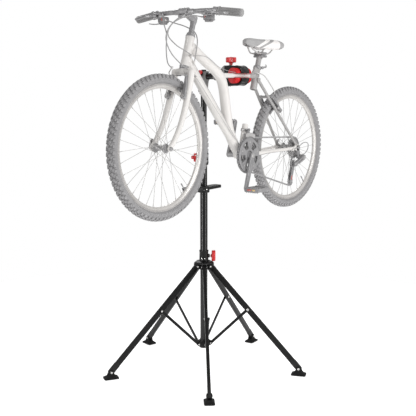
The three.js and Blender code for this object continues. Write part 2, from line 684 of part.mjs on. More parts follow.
function spokes(hubRadius, flangeY, count) {
  return Array.from({ length: count }, (_, i) => {
    const angle = (2 * Math.PI * i) / count;
    const lead = angle + (i % 4 < 2 ? 0.5 : -0.5);
    const y = i % 2 === 0 ? flangeY[0] : flangeY[1];
    const from = point(hubRadius * Math.cos(lead), y, hubRadius * Math.sin(lead));
    const to = point(272 * Math.cos(angle), 0, 272 * Math.sin(angle));
    return rod(from, to, 1.6, 1.6, 3);
  });
}

function rimRing() {
  const outline = [[266, -5], [RIM_RADIUS - 8, -12], [RIM_RADIUS, -12], [RIM_RADIUS, 12],
    [RIM_RADIUS - 8, 12], [266, 5]];
  return turned(outline, WHEEL_SEGMENTS);
}

function frontWheel() {
  const hub = joined(
    drum([0, 0], -36, 36, 13),
    drum([0, 0], -31, -28, 22),
    drum([0, 0], 28, 31, 22),
    drum([0, 0], -49, 49, 8, 12),
    drum([0, 0], -68, 68, 4.8, 12),
  );
  return joined(rimRing(), hub, spokes(20, [-29.5, 29.5], 12));
}

function rearWheel() {
  const hub = joined(
    drum([0, 0], -53, 38, 14.5),
    drum([0, 0], -26, -23, 22),
    drum([0, 0], 29, 32, 22),
    drum([0, 0], -59, 59, 8, 12),
    drum([0, 0], -76, 76, 4.8, 12),
  );
  return joined(rimRing(), hub, spokes(20, [-24.5, 30.5], 12));
}

function cassette() {
  const cogs = [[-31, 50], [-38, 42], [-45, 33]].map(([y, radius]) =>
    drum([0, 0], y - 2.5, y, radius, 14));
  const body = drum([0, 0], -51, -29, 21);
  return joined(cogs, body).subtract(drum([0, 0], -80, 20, 15));
}

function crankArm(side) {
  const end = [-CRANK_LENGTH * Math.sin(crankTurn) * side, -CRANK_LENGTH * Math.cos(crankTurn) * side];
  const from = side > 0 ? -80 : 66;
  return hullOf(
    drum([0, 0], from, from + 14, 17, 14),
    drum(end, from, from + 14, 12, 12),
  );
}

const crankTurn = (CRANK_ANGLE * Math.PI) / 180;

function crankset() {
  const axle = drum([0, 0], -70, 70, 10);
  const guard = drum([0, 0], -56, -53, 97, 24).subtract(joined(guardWindows()));
  const bigRing = drum([0, 0], -47.5, -44.5, CHAIN_RING_RADIUS, 24);
  const smallRing = drum([0, 0], -38, -35, 62, 18);
  const spider = drum([0, 0], -70, -35, 34);
  return joined(axle, guard, bigRing, smallRing, spider, crankArm(1), crankArm(-1));
}

function guardWindows() {
  return Array.from({ length: 5 }, (_, i) => {
    const angle = (2 * Math.PI * i) / 5 + 0.6;
    return drum([58 * Math.cos(angle), 58 * Math.sin(angle)], -60, -50, 13, 8);
  });
}

/** A platform pedal about its spindle, reaching along its own +Y. */
function pedal() {
  const platform = box([-47, 14, -12], [47, 100, 12]);
  const openings = [box([-36, 24, -20], [-9, 90, 20]), box([9, 24, -20], [36, 90, 20])];
  const spindle = rod(point(0, 0.5, 0), point(0, 60, 0), 7, 7, 12);
  return joined(platform.subtract(joined(openings)), spindle);
}

function chain() {
  const arc = ([cx, cz], radius, from, to, steps, y) => Array.from({ length: steps + 1 }, (_, i) => {
    const angle = ((from + ((to - from) * i) / steps) * Math.PI) / 180;
    return point(cx + radius * Math.cos(angle), y, cz + radius * Math.sin(angle));
  });
  const half = CHAIN_WIDTH / 2;
  const bend = 1.7;              // room for the loop's straight stretches round a sprocket
  const ringRun = arc(BOTTOM_BRACKET, CHAIN_RING_RADIUS + bend + half, 88, 284, 10, -46);
  const tension = arc(TENSION_PULLEY, PULLEY_RADIUS + bend + half, 262, 390, 5, -32.5);
  const guide = arc(GUIDE_PULLEY, PULLEY_RADIUS + bend + half, 222, 150, 3, -32.5);
  const cogRun = arc(REAR_HUB, 50 + bend + half, 265, 448, 9, -32.5);
  const path = [...ringRun, ...tension, ...guide, ...cogRun];
  return sweep(path, () => rectangleOutline(CHAIN_WIDTH - 1, CHAIN_WIDTH), { closed: true });
}

function rearDerailleur() {
  const upperKnuckle = drum([468, 1128], -59, -45, 12, 14);
  const lowerKnuckle = drum(GUIDE_PULLEY, -59, -43, 14, 14);
  const link = hullOf(drum([468, 1128], -57, -47, 11, 12), drum(GUIDE_PULLEY, -57, -47, 12, 12));
  return joined(upperKnuckle, lowerKnuckle, link);
}

function derailleurCage() {
  const plate = (from, to) => hullOf(
    drum(GUIDE_PULLEY, from, to, 10, 12),
    drum(TENSION_PULLEY, from, to, 10, 12),
  );
  const pulleys = [GUIDE_PULLEY, TENSION_PULLEY].map((at) => joined(
    drum(at, -34, -31, PULLEY_RADIUS, 14),
    drum(at, -41, -25, 5, 8),
  ));
  return joined(plate(-41, -38.5), plate(-26.5, -24.5), pulleys);
}

// ---------------------------------------------------------------- bike: seat

function seatpost() {
  const post = rod(onSeatAxis(10), onSeatAxis(182), 13.5);
  const head = hullOf(box([148, -27, 1664], [192, 27, 1675]), rod(onSeatAxis(160), onSeatAxis(176), 12));
  return joined(post, head);
}

function saddle() {
  const ball = (x, y, z, rx, ry, rz) => Manifold.sphere(1, 12).scale([rx, ry, rz]).translate([x, y, z]);
  const nose = hullOf(ball(52, 0, 1727, 22, 20, 16), ball(180, 0, 1733, 40, 38, 20));
  const rear = hullOf(
    ball(180, 0, 1733, 40, 38, 20),
    ball(262, 42, 1741, 36, 34, 20),
    ball(262, -42, 1741, 36, 34, 20),
  );
  const rails = mirrored(bentTube([
    point(78, 10, 1722), point(112, 22, 1686), point(128, 22, 1684.2), point(215, 22, 1684.2),
    point(256, 34, 1730),
  ], 3.6, { steps: 7, sides: 6 }));
  return joined(nose, rear, rails);
}

// ---------------------------------------------------------------- assembly

const flipY = (solid) => solid.mirror([0, 1, 0]);

function pedalAt(side) {
  const x = BOTTOM_BRACKET[0] - CRANK_LENGTH * Math.sin(crankTurn) * side;
  const z = BOTTOM_BRACKET[1] - CRANK_LENGTH * Math.cos(crankTurn) * side;
  return point(x, side > 0 ? -80 : 80, z);
}

function buildStand() {
  return [
    bodyGroup('mast', [
      part('lower_mast', pipe(LOWER_MAST), 'mastBlack'),
      part('middle_mast', pipe(MIDDLE_MAST), 'mastBlack'),
      part('lower_hub', lowerHub(), 'black'),
      part('mast_collar', mastCollar(), 'black'),
      part('tool_tray', toolTray(), 'black'),
    ]),
    bodyGroup('folding_base', [
      part('crown', crown(), 'black'),
      part('crown_knob', crownKnob(), 'red'),
      ...foldingBase(),
    ]),
    bodyGroup('head', [
      part('mast_collar_knob', collarKnob(), 'red'),
      part('upper_mast', pipe(UPPER_MAST), 'mastBlack'),
      part('mast_head', mastHead(), 'black'),
      part('head_knob', headKnob(), 'red'),
    ]),
    bodyGroup('clamp', [
      part('clamp_arm', clampArm(), 'casting'),
      part('jaw_lower', jawBelow(), 'black'),
      part('pad_lower', padBelow(), 'red'),
      part('jaw_upper', jawUpper(), 'black'),
      part('pad_upper', aboveStrut(padBelow()), 'red'),
      part('jaw_knob', jawKnob(), 'red'),
    ]),
  ];
}

function buildBike() {
  const bike = bodyGroup('bike', [
    part('frame', frame(), 'white'),
    part('seatpost', seatpost(), 'grey'),
    part('saddle', saddle(), 'saddle'),
    part('chain', chain(), 'grey'),
    part('crankset', crankset(), 'grey', inPlane(BOTTOM_BRACKET)),
    part('near_pedal', flipY(pedal()), 'grey', pedalAt(1)),
    part('far_pedal', pedal(), 'grey', pedalAt(-1)),
    part('rear_tyre', tyre(), 'tyre', inPlane(REAR_HUB)),
    part('rear_wheel', rearWheel(), 'rim', inPlane(REAR_HUB)),
    part('cassette', cassette(), 'grey', inPlane(REAR_HUB)),
    part('rear_derailleur', rearDerailleur(), 'grey'),
    part('derailleur_cage', derailleurCage(), 'grey'),
    part('rear_brake_arm_left', flipY(brakeArm(SEAT_BRAKE)), 'grey'),
    part('rear_brake_arm_right', brakeArm(SEAT_BRAKE), 'grey'),
    bodyGroup('steering', [
      part('fork', fork(), 'white'),
      part('stem', stem(), 'grey'),
      part('handlebar', handlebar(), 'grey'),
      part('grip_left', flipY(grip()), 'greyRubber'),
      part('grip_right', grip(), 'greyRubber'),
      part('lever_mount_left', flipY(leverMount()), 'grey'),
      part('lever_mount_right', leverMount(), 'grey'),
      part('brake_lever_left', flipY(brakeLever()), 'grey'),
      part('brake_lever_right', brakeLever(), 'grey'),
      part('control_cables', controlCables(), 'grey'),
      part('front_tyre', tyre(), 'tyre', inPlane(FRONT_HUB)),
      part('front_wheel', frontWheel(), 'rim', inPlane(FRONT_HUB)),
      part('front_brake_arm_left', flipY(brakeArm(FORK_BRAKE)), 'grey'),
      part('front_brake_arm_right', brakeArm(FORK_BRAKE), 'grey'),
    ]),
  ]);
  bike.position.y = BIKE_PLANE_Y;
  return bike;
}

const group = new THREE.Group();
group.name = 'bicycle_on_stand';
group.add(...buildStand(), buildBike());
group.updateMatrixWorld(true);

const bounds = new THREE.Box3().setFromObject(group, true);
const centre = bounds.getCenter(new THREE.Vector3());
group.position.set(-centre.x, -centre.y, -bounds.min.z);

export default group;
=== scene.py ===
"""A hardtail mountain bike held by its frame strut in a five-legged folding repair stand.

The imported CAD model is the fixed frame. Each piece below is modelled in millimetres about the
mast's axis on the floor (the stand) or about the same axis shifted into the wheels' plane (the
bike), rides on its CAD body, and mostly stands in for the plain CAD node of the same part.
"""

import math
import random

import bmesh
import bpy
from mathutils import Matrix, Vector


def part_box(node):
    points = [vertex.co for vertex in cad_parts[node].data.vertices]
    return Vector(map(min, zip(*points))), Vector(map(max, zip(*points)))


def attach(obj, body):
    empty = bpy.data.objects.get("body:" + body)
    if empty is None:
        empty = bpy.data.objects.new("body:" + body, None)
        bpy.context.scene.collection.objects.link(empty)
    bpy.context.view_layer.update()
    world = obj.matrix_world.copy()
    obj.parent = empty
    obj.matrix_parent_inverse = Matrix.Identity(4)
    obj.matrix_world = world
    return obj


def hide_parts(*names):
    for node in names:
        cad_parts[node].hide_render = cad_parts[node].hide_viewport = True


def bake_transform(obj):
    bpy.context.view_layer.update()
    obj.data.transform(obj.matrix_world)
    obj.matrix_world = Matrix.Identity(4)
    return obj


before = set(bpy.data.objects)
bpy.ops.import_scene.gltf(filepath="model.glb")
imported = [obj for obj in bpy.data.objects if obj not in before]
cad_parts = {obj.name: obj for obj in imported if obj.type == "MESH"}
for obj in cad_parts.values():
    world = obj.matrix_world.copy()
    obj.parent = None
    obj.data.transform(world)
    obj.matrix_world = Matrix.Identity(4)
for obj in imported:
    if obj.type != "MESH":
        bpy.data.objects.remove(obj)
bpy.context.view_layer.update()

# ------------------------------------------------------------------ places and dimensions, mm

MM = 0.001
TAU = 2 * math.pi
mast_low, mast_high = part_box("lower_mast")
MAST_X, MAST_Y = [(a + b) / 2 for a, b in zip(mast_low[:2], mast_high[:2])]
BIKE_PLANE = -235                   # the wheels' plane, in front of the mast
STAND = Matrix.Translation((MAST_X, MAST_Y, 0)) @ Matrix.Scale(MM, 4)
BIKE = Matrix.Translation((MAST_X, MAST_Y + BIKE_PLANE * MM, 0)) @ Matrix.Scale(MM, 4)

FRONT_HUB, REAR_HUB, BOTTOM_BRACKET = (-607, 1241), (450, 1186), (5, 1172)
HEAD_BOTTOM, HEAD_TOP = (-438, 1608), (-394.5, 1741)
SEAT_TUBE_BOTTOM, SEAT_TUBE_TOP = (112, 1500), (149, 1617)
STRUT_Z = 1570
CRANK_LENGTH, CRANK_LEAN = 170, math.radians(18)
GUIDE_PULLEY, TENSION_PULLEY = (452, 1096), (422, 1000)
HANGER, KNUCKLE = (468, 1128), (472, 1134)
LEG_ANGLES = [221.35 + 72 * i for i in range(5)]
CROWN_PIVOT, HUB_PIVOT, FOOT_PIVOT = (39, 563), (36, 133), (522, 35)
LEG_RUN, LEG_DROP = FOOT_PIVOT[0] - CROWN_PIVOT[0], CROWN_PIVOT[1] - FOOT_PIVOT[1]
COLLAR_KNOB, CROWN_KNOB = (128, 1147), (-52, 618)     # angle round the mast, height
HEAD_KNOB_Z = 1580
MAST_BORE = 20.3                    # the inside radius of the castings round the lower mast
ORIGIN, ARM_CENTRE = (0, 0, 0), (0, 0, STRUT_Z)
X, Y, Z = Vector((1, 0, 0)), Vector((0, 1, 0)), Vector((0, 0, 1))


def flat(place, y=0):
    """A point in the bike's plane, from its (x, z) pair."""
    return Vector((place[0], y, place[1]))


HEAD_AXIS = (flat(HEAD_TOP) - flat(HEAD_BOTTOM)).normalized()
HEAD_LENGTH = (flat(HEAD_TOP) - flat(HEAD_BOTTOM)).length
SEAT_AXIS = (flat(SEAT_TUBE_TOP) - flat(SEAT_TUBE_BOTTOM)).normalized()


def on_head(distance):
    return flat(HEAD_BOTTOM) + HEAD_AXIS * distance


def on_seat(distance):
    return flat(SEAT_TUBE_BOTTOM) + SEAT_AXIS * distance


# ------------------------------------------------------------------ outlines in a plane

def circle(radius, sides=24, at=(0, 0), stretch=1):
    return [(at[0] + radius * math.cos(TAU * i / sides),
             at[1] + stretch * radius * math.sin(TAU * i / sides))
            for i in range(sides)]


def rounded(half_width, half_height, corner, steps=4):
    """A rounded rectangle about the origin."""
    points = []
    for k, (sx, sy) in enumerate([(1, 1), (-1, 1), (-1, -1), (1, -1)]):
        for i in range(steps + 1):
            turn = math.radians(90 * (k + i / steps))
            points.append((sx * (half_width - corner) + corner * math.cos(turn),
                           sy * (half_height - corner) + corner * math.sin(turn)))
    return points


def hull(points):
    """The convex outline round some points, anticlockwise."""
    points = sorted(set((round(a, 5), round(b, 5)) for a, b in points))

    def chain(sequence):
        out = []
        for p in sequence:
            while len(out) > 1 and ((out[-1][0] - out[-2][0]) * (p[1] - out[-2][1])
                                    - (out[-1][1] - out[-2][1]) * (p[0] - out[-2][0])) <= 1e-9:
                out.pop()
            out.append(p)
        return out[:-1]

    return chain(points) + chain(reversed(points))


def capsule(a, radius_a, b, radius_b, sides=24):
    return hull(circle(radius_a, sides, a) + circle(radius_b, sides, b))


def inset(outline, distance):
    """The outline moved inwards by a distance."""
    count = len(outline)
    area = sum(outline[i - 1][0] * outline[i][1] - outline[i][0] * outline[i - 1][1] for i in range(count))
    sign = 1 if area > 0 else -1
    moved = []
    for i, (x, z) in enumerate(outline):
        before, after = outline[i - 1], outline[(i + 1) % count]
        one = Vector((z - before[1], before[0] - x)).normalized() * sign
        two = Vector((after[1] - z, x - after[0])).normalized() * sign
        mean = one + two
        mean = mean.normalized() / max(0.5, mean.length / 2) if mean.length > 1e-6 else one
        moved.append((x - mean.x * distance, z - mean.y * distance))
    return moved


def level(a, b, depth):
    """Draws an outline out upwards."""
    return (a, b, depth)


def across(a, b, depth):
    """Draws a (y, z) outline out along X."""
    return (depth, a, b)


def lobed(lobes, radius, waist, steps=72, turn=0.0):
    """A hand knob's outline: round lobes with hollows between them."""
    points = []
    for i in range(steps):
        angle = TAU * i / steps
        wave = 0.5 + 0.5 * math.cos(lobes * angle)
        r = waist + (radius - waist) * wave ** 0.8
        points.append((r * math.cos(angle + turn), r * math.sin(angle + turn)))
    return points


# ------------------------------------------------------------------ solids

def smooth_path(points, count):
    """Evenly spaced points on a smooth curve through the given ones."""
    points = [Vector(p) for p in points]
    padded = [points[0] * 2 - points[1], *points, points[-1] * 2 - points[-2]]
    dense = []
    for i in range(1, len(padded) - 2):
        a, b, c, d = padded[i - 1:i + 3]
        for k in range(16):
            t = k / 16
            dense.append(0.5 * (b * 2 + (c - a) * t + (a * 2 - b * 5 + c * 4 - d) * t * t
                                + (b * 3 - a - c * 3 + d) * t ** 3))
    dense.append(points[-1])
    return respaced(dense, count)


def respaced(points, count):
    """count points at even distances along a polyline, its ends included."""
    reach = [0.0]
    for a, b in zip(points, points[1:]):
        reach.append(reach[-1] + (b - a).length)
    out, k = [], 0
    for i in range(count):
        target = reach[-1] * i / (count - 1)
        while k < len(points) - 2 and reach[k + 1] < target:
            k += 1
        span = max(reach[k + 1] - reach[k], 1e-9)
        out.append(points[k].lerp(points[k + 1], min(1.0, (target - reach[k]) / span)))
    return out


def path_length(points):
    return sum((Vector(b) - Vector(a)).length for a, b in zip(points, points[1:]))


def axes_along(path, closed=False, side=None):
    """(point, u, v) at each point of a path, turning as little as possible."""
    count = len(path)
    out, u = [], None
    for i, p in enumerate(path):
        before = path[i - 1] if closed or i else path[0]
        after = path[(i + 1) % count] if closed or i < count - 1 else path[-1]
        tangent = (after - before).normalized()
        if side is not None:
            u = side
        elif u is None:
            u = Z if abs(tangent.z) < 0.8 else X
        u = (u - tangent * u.dot(tangent)).normalized()
        out.append((p, u, tangent.cross(u)))
    return out


class Shape:
    """Closed surfaces gathered into one mesh, in millimetres."""

    def __init__(self):
        self.points, self.faces, self.looks = [], [], []

    def loft(self, rings, closed=False, look=0, caps=True):
        """Skin a row of rings. A ring of one point closes an end to a tip."""
        starts = []
        for ring in rings:
            starts.append((len(self.points), len(ring)))
            self.points += [Vector(p) for p in ring]
        spans = list(zip(starts, starts[1:])) + ([(starts[-1], starts[0])] if closed else [])
        faces = []
        for (a, count_a), (b, count_b) in spans:
            count = max(count_a, count_b)
            for j in range(count):
                k = (j + 1) % count
                if count_a == 1:
                    faces.append((a, b + j, b + k))
                elif count_b == 1:
                    faces.append((a + j, b, a + k))
                else:
                    faces.append((a + j, b + j, b + k, a + k))
        if caps and not closed:
            for start, count in (starts[0], starts[-1]):
                if count > 2:
                    faces.append(tuple(range(start, start + count)))
        self.faces += faces
        self.looks += [look] * len(faces)
        return self

    def add(self, other, matrix=None):
        start = len(self.points)
        self.points += [matrix @ p if matrix else p for p in other.points]
        self.faces += [tuple(start + i for i in face) for face in other.faces]
        self.looks += other.looks
        return self

    def sweep(self, path, outline, look=0, side=None):
        """outline is a list of (a, b), or a function of the share of the way along."""
        path = [Vector(p) for p in path]
        rings = []
        for i, (p, u, v) in enumerate(axes_along(path, side=side)):
            section = outline(i / (len(path) - 1)) if callable(outline) else outline
            rings.append([p + u * a + v * b for a, b in section])
        return self.loft(rings, look=look)

    def tube(self, path, radius, end=None, sides=16, look=0, side=None, dome=0.0):
        """A round tube. dome rounds its ends off by that share of the radius."""
        path = [Vector(p) for p in path]
        end = radius if end is None else end
        count = len(path)
        rings = []
        places = axes_along(path, side=side)
        for i, (p, u, v) in enumerate(places):
            r = radius + (end - radius) * i / max(count - 1, 1)
            rings.append([p + u * a + v * b for a, b in circle(r, sides)])
        if dome:
            for end_index, sign in ((0, -1), (-1, 1)):
                p, u, v = places[end_index]
                r = radius if end_index == 0 else end
                ahead = u.cross(v) * sign
                extra = []
                for turn in (30, 60, 80):
                    s, c = math.sin(math.radians(turn)), math.cos(math.radians(turn))
                    extra.append([p + ahead * r * dome * s + (u * a + v * b) * c for a,
                                  b in circle(r, sides)])
                rings = extra[::-1] + rings if end_index == 0 else rings + extra
        return self.loft(rings, look=look)

    def rod(self, start, end, radius, end_radius=None, sides=20, look=0, edge=0.6):
        """A straight bar with chamfered ends."""
        start, end = Vector(start), Vector(end)
        length = (end - start).length
        last = radius if end_radius is None else end_radius
        edge = min(edge, length / 3, radius / 2, last / 2)
        return self.turn([(0, radius - edge), (edge, radius), (length - edge, last), (length, last - edge)],
                         start, end - start, sides, look)

    def turn(self, profile, at, axis, sides=32, look=0, closed=False):
        """Turn (distance, radius) pairs about an axis through at."""
        at, axis = Vector(at), Vector(axis).normalized()
        u = (Z if abs(axis.z) < 0.9 else X)
        u = (u - axis * u.dot(axis)).normalized()
        v = axis.cross(u)
        rings = []
        for distance, radius in profile:
            centre = at + axis * distance
            rings.append([centre] if radius < 1e-6 else [centre + u * a + v * b for a,
                                                         b in circle(radius, sides)])
        return self.loft(rings, closed, look)

    def ring(self, profile, at, axis, sides=48, look=0):
        """A ring about an axis, turned from a closed (distance, radius) outline."""
        return self.turn(profile, at, axis, sides, look, closed=True)

    def slab(self, outline, low, high, edge=0.8, steps=1, place=None, look=0):
        """An outline drawn out along its normal, with its edges rounded off.

        place maps (a, b, depth) to a point. It starts as x, z and y."""
        place = place or (lambda a, b, depth: (a, depth, b))
        rings = []
        for base, sign in ((low, 1), (high, -1)):
            side = []
            for k in range(steps + 1):
                turn = math.pi / 2 * k / steps
                inner = inset(outline, edge * (1 - math.sin(turn))) if k < steps else outline
                side.append([place(a, b, base + sign * edge * (1 - math.cos(turn))) for a, b in inner])
            rings += side if sign > 0 else side[::-1]
        return self.loft(rings, False, look)

    def block(self, low, high, corner=2.0, edge=1.0, axis="z", look=0, steps=3):
        """A rounded block between two corners."""
        low, high = Vector(low), Vector(high)
        middle, half = (low + high) / 2, (high - low) / 2
        along = "xyz".index(axis)
        p, q = [i for i in range(3) if i != along]

        def place(a, b, depth):
            out = Vector((0, 0, 0))
            out[p], out[q], out[along] = middle[p] + a, middle[q] + b, depth
            return out

        corner = min(corner, half[p] * 0.98, half[q] * 0.98)
        return self.slab(rounded(half[p], half[q], corner, steps), low[along], high[along], edge, 2, place,
                         look)

    def ball(self, at, radius, sides=16, squash=1.0, axis=(0, 0, 1)):
        profile = [(-radius * squash * math.cos(math.pi * i / 8),
                    radius * math.sin(math.pi * i / 8)) for i in range(9)]
        return self.turn(profile, at, axis, sides)

    def hex_bolt(self, at, axis, radius=4.0, height=3.2, look=0):
        """A round cap-screw head with a hexagon socket, proud of a surface."""
        head = [(-1.5, radius), (height - 0.5, radius), (height, radius - 0.5), (height, radius * 0.58),
                (height * 0.45, radius * 0.5), (height * 0.45, 0)]
        return self.turn([(-1.5, 0)] + head, at, axis, 18, look)

    def weld(self, start, direction, radius, centre, axis, other_radius, bead=2.0):
        """A welded seam where a tube meets the side of another one."""
        start, direction, axis = Vector(start), Vector(direction).normalized(), Vector(axis).normalized()
        u = Y if abs(direction.y) < 0.9 else X
        u = (u - direction * u.dot(direction)).normalized()
        v = direction.cross(u)
        seam = []
        for a, b in circle(radius, 40):
            offset = u * a + v * b
            p = start + offset
            for _ in range(200):
                away = p - Vector(centre)
                away -= axis * away.dot(axis)
                gap = away.length - other_radius
                if gap < 0.15:
                    break
                p += direction * max(gap * 0.7, 0.1)
            else:
                return self
            seam.append(p)
        rings = []
        for i, (p, a, b) in enumerate(axes_along(seam, True)):
            r = bead * (1 + 0.16 * math.sin(i * TAU / 2.5))
            rings.append([p + a * c + b * d for c, d in circle(r, 8)])
        return self.loft(rings, True)

    def flipped(self):
        """The mirror image across the bike's plane."""
        return Shape().add(self, Matrix.Diagonal((1, -1, 1, 1)))


def mesh_of(shape, matrix, name):
    mesh = bpy.data.meshes.new(name)
    mesh.from_pydata([matrix @ p for p in shape.points], [], shape.faces)
    mesh.polygons.foreach_set("material_index", shape.looks)
    work = bmesh.new()
    work.from_mesh(mesh)
    bmesh.ops.remove_doubles(work, verts=work.verts, dist=1e-7)
    bmesh.ops.recalc_face_normals(work, faces=work.faces)
    work.to_mesh(mesh)
    work.free()
    return mesh


def piece(name, shape, body, looks, stands_for=(), matrix=STAND, sharp=38, cut=None, soften=0,
          ride=True):
    """A finished piece: its mesh, finish, body, and the CAD nodes that it stands for."""
    mesh = mesh_of(shape, matrix, name)
    piece_object = bpy.data.objects.new(name, mesh)
    bpy.context.scene.collection.objects.link(piece_object)
    for finish in looks if isinstance(looks, (list, tuple)) else [looks]:
        mesh.materials.append(finish)
    if cut is not None:
        piece_object = carved(piece_object, cut, matrix, soften)
    piece_object.data.shade_smooth()
    piece_object.data.set_sharp_from_angle(angle=math.radians(sharp))
    if stands_for:
        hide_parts(*([stands_for] if isinstance(stands_for, str) else stands_for))
    if ride:
        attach(piece_object, body)
    return piece_object


def carved(target, cutter_shape, matrix, soften):
    """Take a shape out of an object, then soften its sharp edges."""
    cutter = bpy.data.objects.new("cutter", mesh_of(cutter_shape, matrix, "cutter"))
    bpy.context.scene.collection.objects.link(cutter)
    modifier = target.modifiers.new("cut", "BOOLEAN")
    modifier.operation, modifier.solver, modifier.object = "DIFFERENCE", "EXACT", cutter
    modifier.use_self = True
    if soften:
        bevel = target.modifiers.new("soften", "BEVEL")
        bevel.width, bevel.segments, bevel.limit_method = soften * MM, 2, "ANGLE"
        bevel.angle_limit = math.radians(50)
    graph = bpy.context.evaluated_depsgraph_get()
    graph.update()
    mesh = bpy.data.meshes.new_from_object(target.evaluated_get(graph))
    target.modifiers.clear()
    old, target.data = target.data, mesh
    bpy.data.meshes.remove(old)
    bpy.data.objects.remove(cutter)
    return target


# ------------------------------------------------------------------ finishes

def linear(value):
    value /= 255
    return value / 12.92 if value <= 0.04045 else ((value + 0.055) / 1.055) ** 2.4


def shade(colour, factor=1.0):
    return (*[min(1.0, linear(c) * factor) for c in colour], 1)


def finish(name, colour, rough, metal=0.0, coat=0.0, coat_rough=0.06, specular=0.5, sheen=0.0,
           vary=0.06, blotch=18.0, rough_vary=0.06, grain=700.0, bump=0.08, depth=0.0004,
           pattern="moulded", wear=0.0):
    """A procedural surface: mottled colour, uneven roughness and a fine relief at its real scale."""
    material = bpy.data.materials.new(name)
    material.use_nodes = True
    tree = material.node_tree
    nodes, links = tree.nodes, tree.links
    nodes.clear()

    def node(kind, **inputs):
        made = nodes.new("ShaderNode" + kind)
        for key, value in inputs.items():
            made.inputs[key.replace("_", " ")].default_value = value
        return made

    output = node("OutputMaterial")
    shader = node("BsdfPrincipled", Metallic=metal, Coat_Weight=coat, Coat_Roughness=coat_rough,
                  Specular_IOR_Level=specular, Sheen_Weight=sheen, Sheen_Roughness=0.4)
    links.new(shader.outputs[0], output.inputs[0])
    place = node("TexCoord")
    mottle = node("TexNoise", Scale=blotch, Detail=5.0, Roughness=0.6)
    links.new(place.outputs["Object"], mottle.inputs["Vector"])
    fine = node("TexNoise", Scale=grain, Detail=3.0, Roughness=0.55)
    links.new(place.outputs["Object"], fine.inputs["Vector"])

    tint = nodes.new("ShaderNodeMix")
    tint.data_type = "RGBA"
    tint.inputs["A"].default_value = shade(colour, 1 - vary * 2)
    tint.inputs["B"].default_value = shade(colour, 1 + vary)
    contrast = node("MapRange")
    contrast.inputs["From Min"].default_value = 0.35
    contrast.inputs["From Max"].default_value = 0.65
    links.new(mottle.outputs["Fac"], contrast.inputs["Value"])
    links.new(contrast.outputs[0], tint.inputs["Factor"])
    colour_out = tint.outputs["Result"]
    if wear:
        form = node("NewGeometry")
        edge = node("MapRange")
        edge.inputs["From Min"].default_value = 0.53
        edge.inputs["From Max"].default_value = 0.62
        links.new(form.outputs["Pointiness"], edge.inputs["Value"])
        broken = node("Math")
        broken.operation = "MULTIPLY"
        links.new(edge.outputs[0], broken.inputs[0])
        links.new(mottle.outputs["Fac"], broken.inputs[1])
        worn = nodes.new("ShaderNodeMix")
        worn.data_type = "RGBA"
        worn.inputs["B"].default_value = shade([c + (255 - c) * wear for c in colour])
        links.new(colour_out, worn.inputs["A"])
        links.new(broken.outputs[0], worn.inputs["Factor"])
        colour_out = worn.outputs["Result"]
    links.new(colour_out, shader.inputs["Base Color"])

    uneven = node("MapRange")
    uneven.inputs["To Min"].default_value = max(0.02, rough - rough_vary)
    uneven.inputs["To Max"].default_value = min(1.0, rough + rough_vary)
    links.new(mottle.outputs["Fac"], uneven.inputs["Value"])
    links.new(uneven.outputs[0], shader.inputs["Roughness"])

    height = fine.outputs["Fac"]
    if pattern in ("leather", "cast"):
        cells = node("TexVoronoi", Scale=grain * 0.6)
        cells.feature = "SMOOTH_F1" if pattern == "leather" else "F1"
        links.new(place.outputs["Object"], cells.inputs["Vector"])
        both = node("Math")
        both.operation = "ADD"
        links.new(cells.outputs["Distance"], both.inputs[0])
        links.new(fine.outputs["Fac"], both.inputs[1])
        height = both.outputs[0]
    relief = node("Bump", Strength=bump, Distance=depth)
    links.new(height, relief.inputs["Height"])
    links.new(relief.outputs[0], shader.inputs["Normal"])
    return material


WHITE_PAINT = finish("white_paint", (214, 211, 208), 0.42, coat=0.12, specular=0.3, vary=0.015, bump=0.05,
                     grain=420)
GREY_PAINT = finish("grey_paint", (160, 158, 157), 0.42, coat=0.12, specular=0.35, vary=0.04, bump=0.05,
                    grain=420)
TYRE = finish("tyre_rubber", (150, 149, 150), 0.82, specular=0.35, vary=0.07, blotch=45, grain=1500,
              bump=0.3, rough_vary=0.1)
TYRE_WALL = finish("tyre_wall", (142, 141, 142), 0.72, specular=0.35, vary=0.05, blotch=60, grain=2600,
                   bump=0.22)
RIM = finish("rim_alloy", (198, 195, 192), 0.32, metal=0.35, vary=0.03, bump=0.06, grain=1200)
BRAKE_TRACK = finish("brake_track", (190, 187, 185), 0.28, metal=0.6, vary=0.05, grain=2400, bump=0.12)
SPOKE = finish("spoke_steel", (178, 176, 174), 0.28, metal=0.5, vary=0.05, grain=1500, bump=0.05)
GREY_METAL = finish("grey_metal", (140, 139, 140), 0.38, metal=0.25, vary=0.07, blotch=40, grain=900,
                    bump=0.1, wear=0.25)
PALE_METAL = finish("pale_metal", (178, 176, 175), 0.32, metal=0.35, vary=0.05, grain=900, bump=0.08,
                    wear=0.2)
METALS = [GREY_METAL, PALE_METAL]
GREY_PLASTIC = finish("grey_plastic", (136, 135, 136), 0.55, vary=0.06, blotch=40, grain=1800, bump=0.2)
GRIP = finish("grip_rubber", (150, 149, 149), 0.85, specular=0.3, sheen=0.15, vary=0.06, grain=2200,
              bump=0.35)
CABLE = finish("cable_housing", (150, 149, 149), 0.5, vary=0.05, grain=1600, bump=0.15)
STEEL = finish("steel", (196, 195, 193), 0.24, metal=0.8, vary=0.06, blotch=80, grain=1400, bump=0.05)
MAST_BLACK = finish("mast_paint", (12, 12, 12), 0.2, coat=0.3, coat_rough=0.12, specular=0.25, vary=0.12,
                    blotch=30,
                    grain=380, bump=0.06, rough_vary=0.07)
BLACK_PAINT = finish("black_paint", (16, 16, 16), 0.36, coat=0.08, coat_rough=0.2, specular=0.16, vary=0.14,
                     blotch=35,
                     grain=520, bump=0.12, wear=0.16)
BLACK_PLASTIC = finish("black_plastic", (22, 22, 22), 0.42, specular=0.25, vary=0.12, blotch=40, grain=1500,
                       bump=0.22)
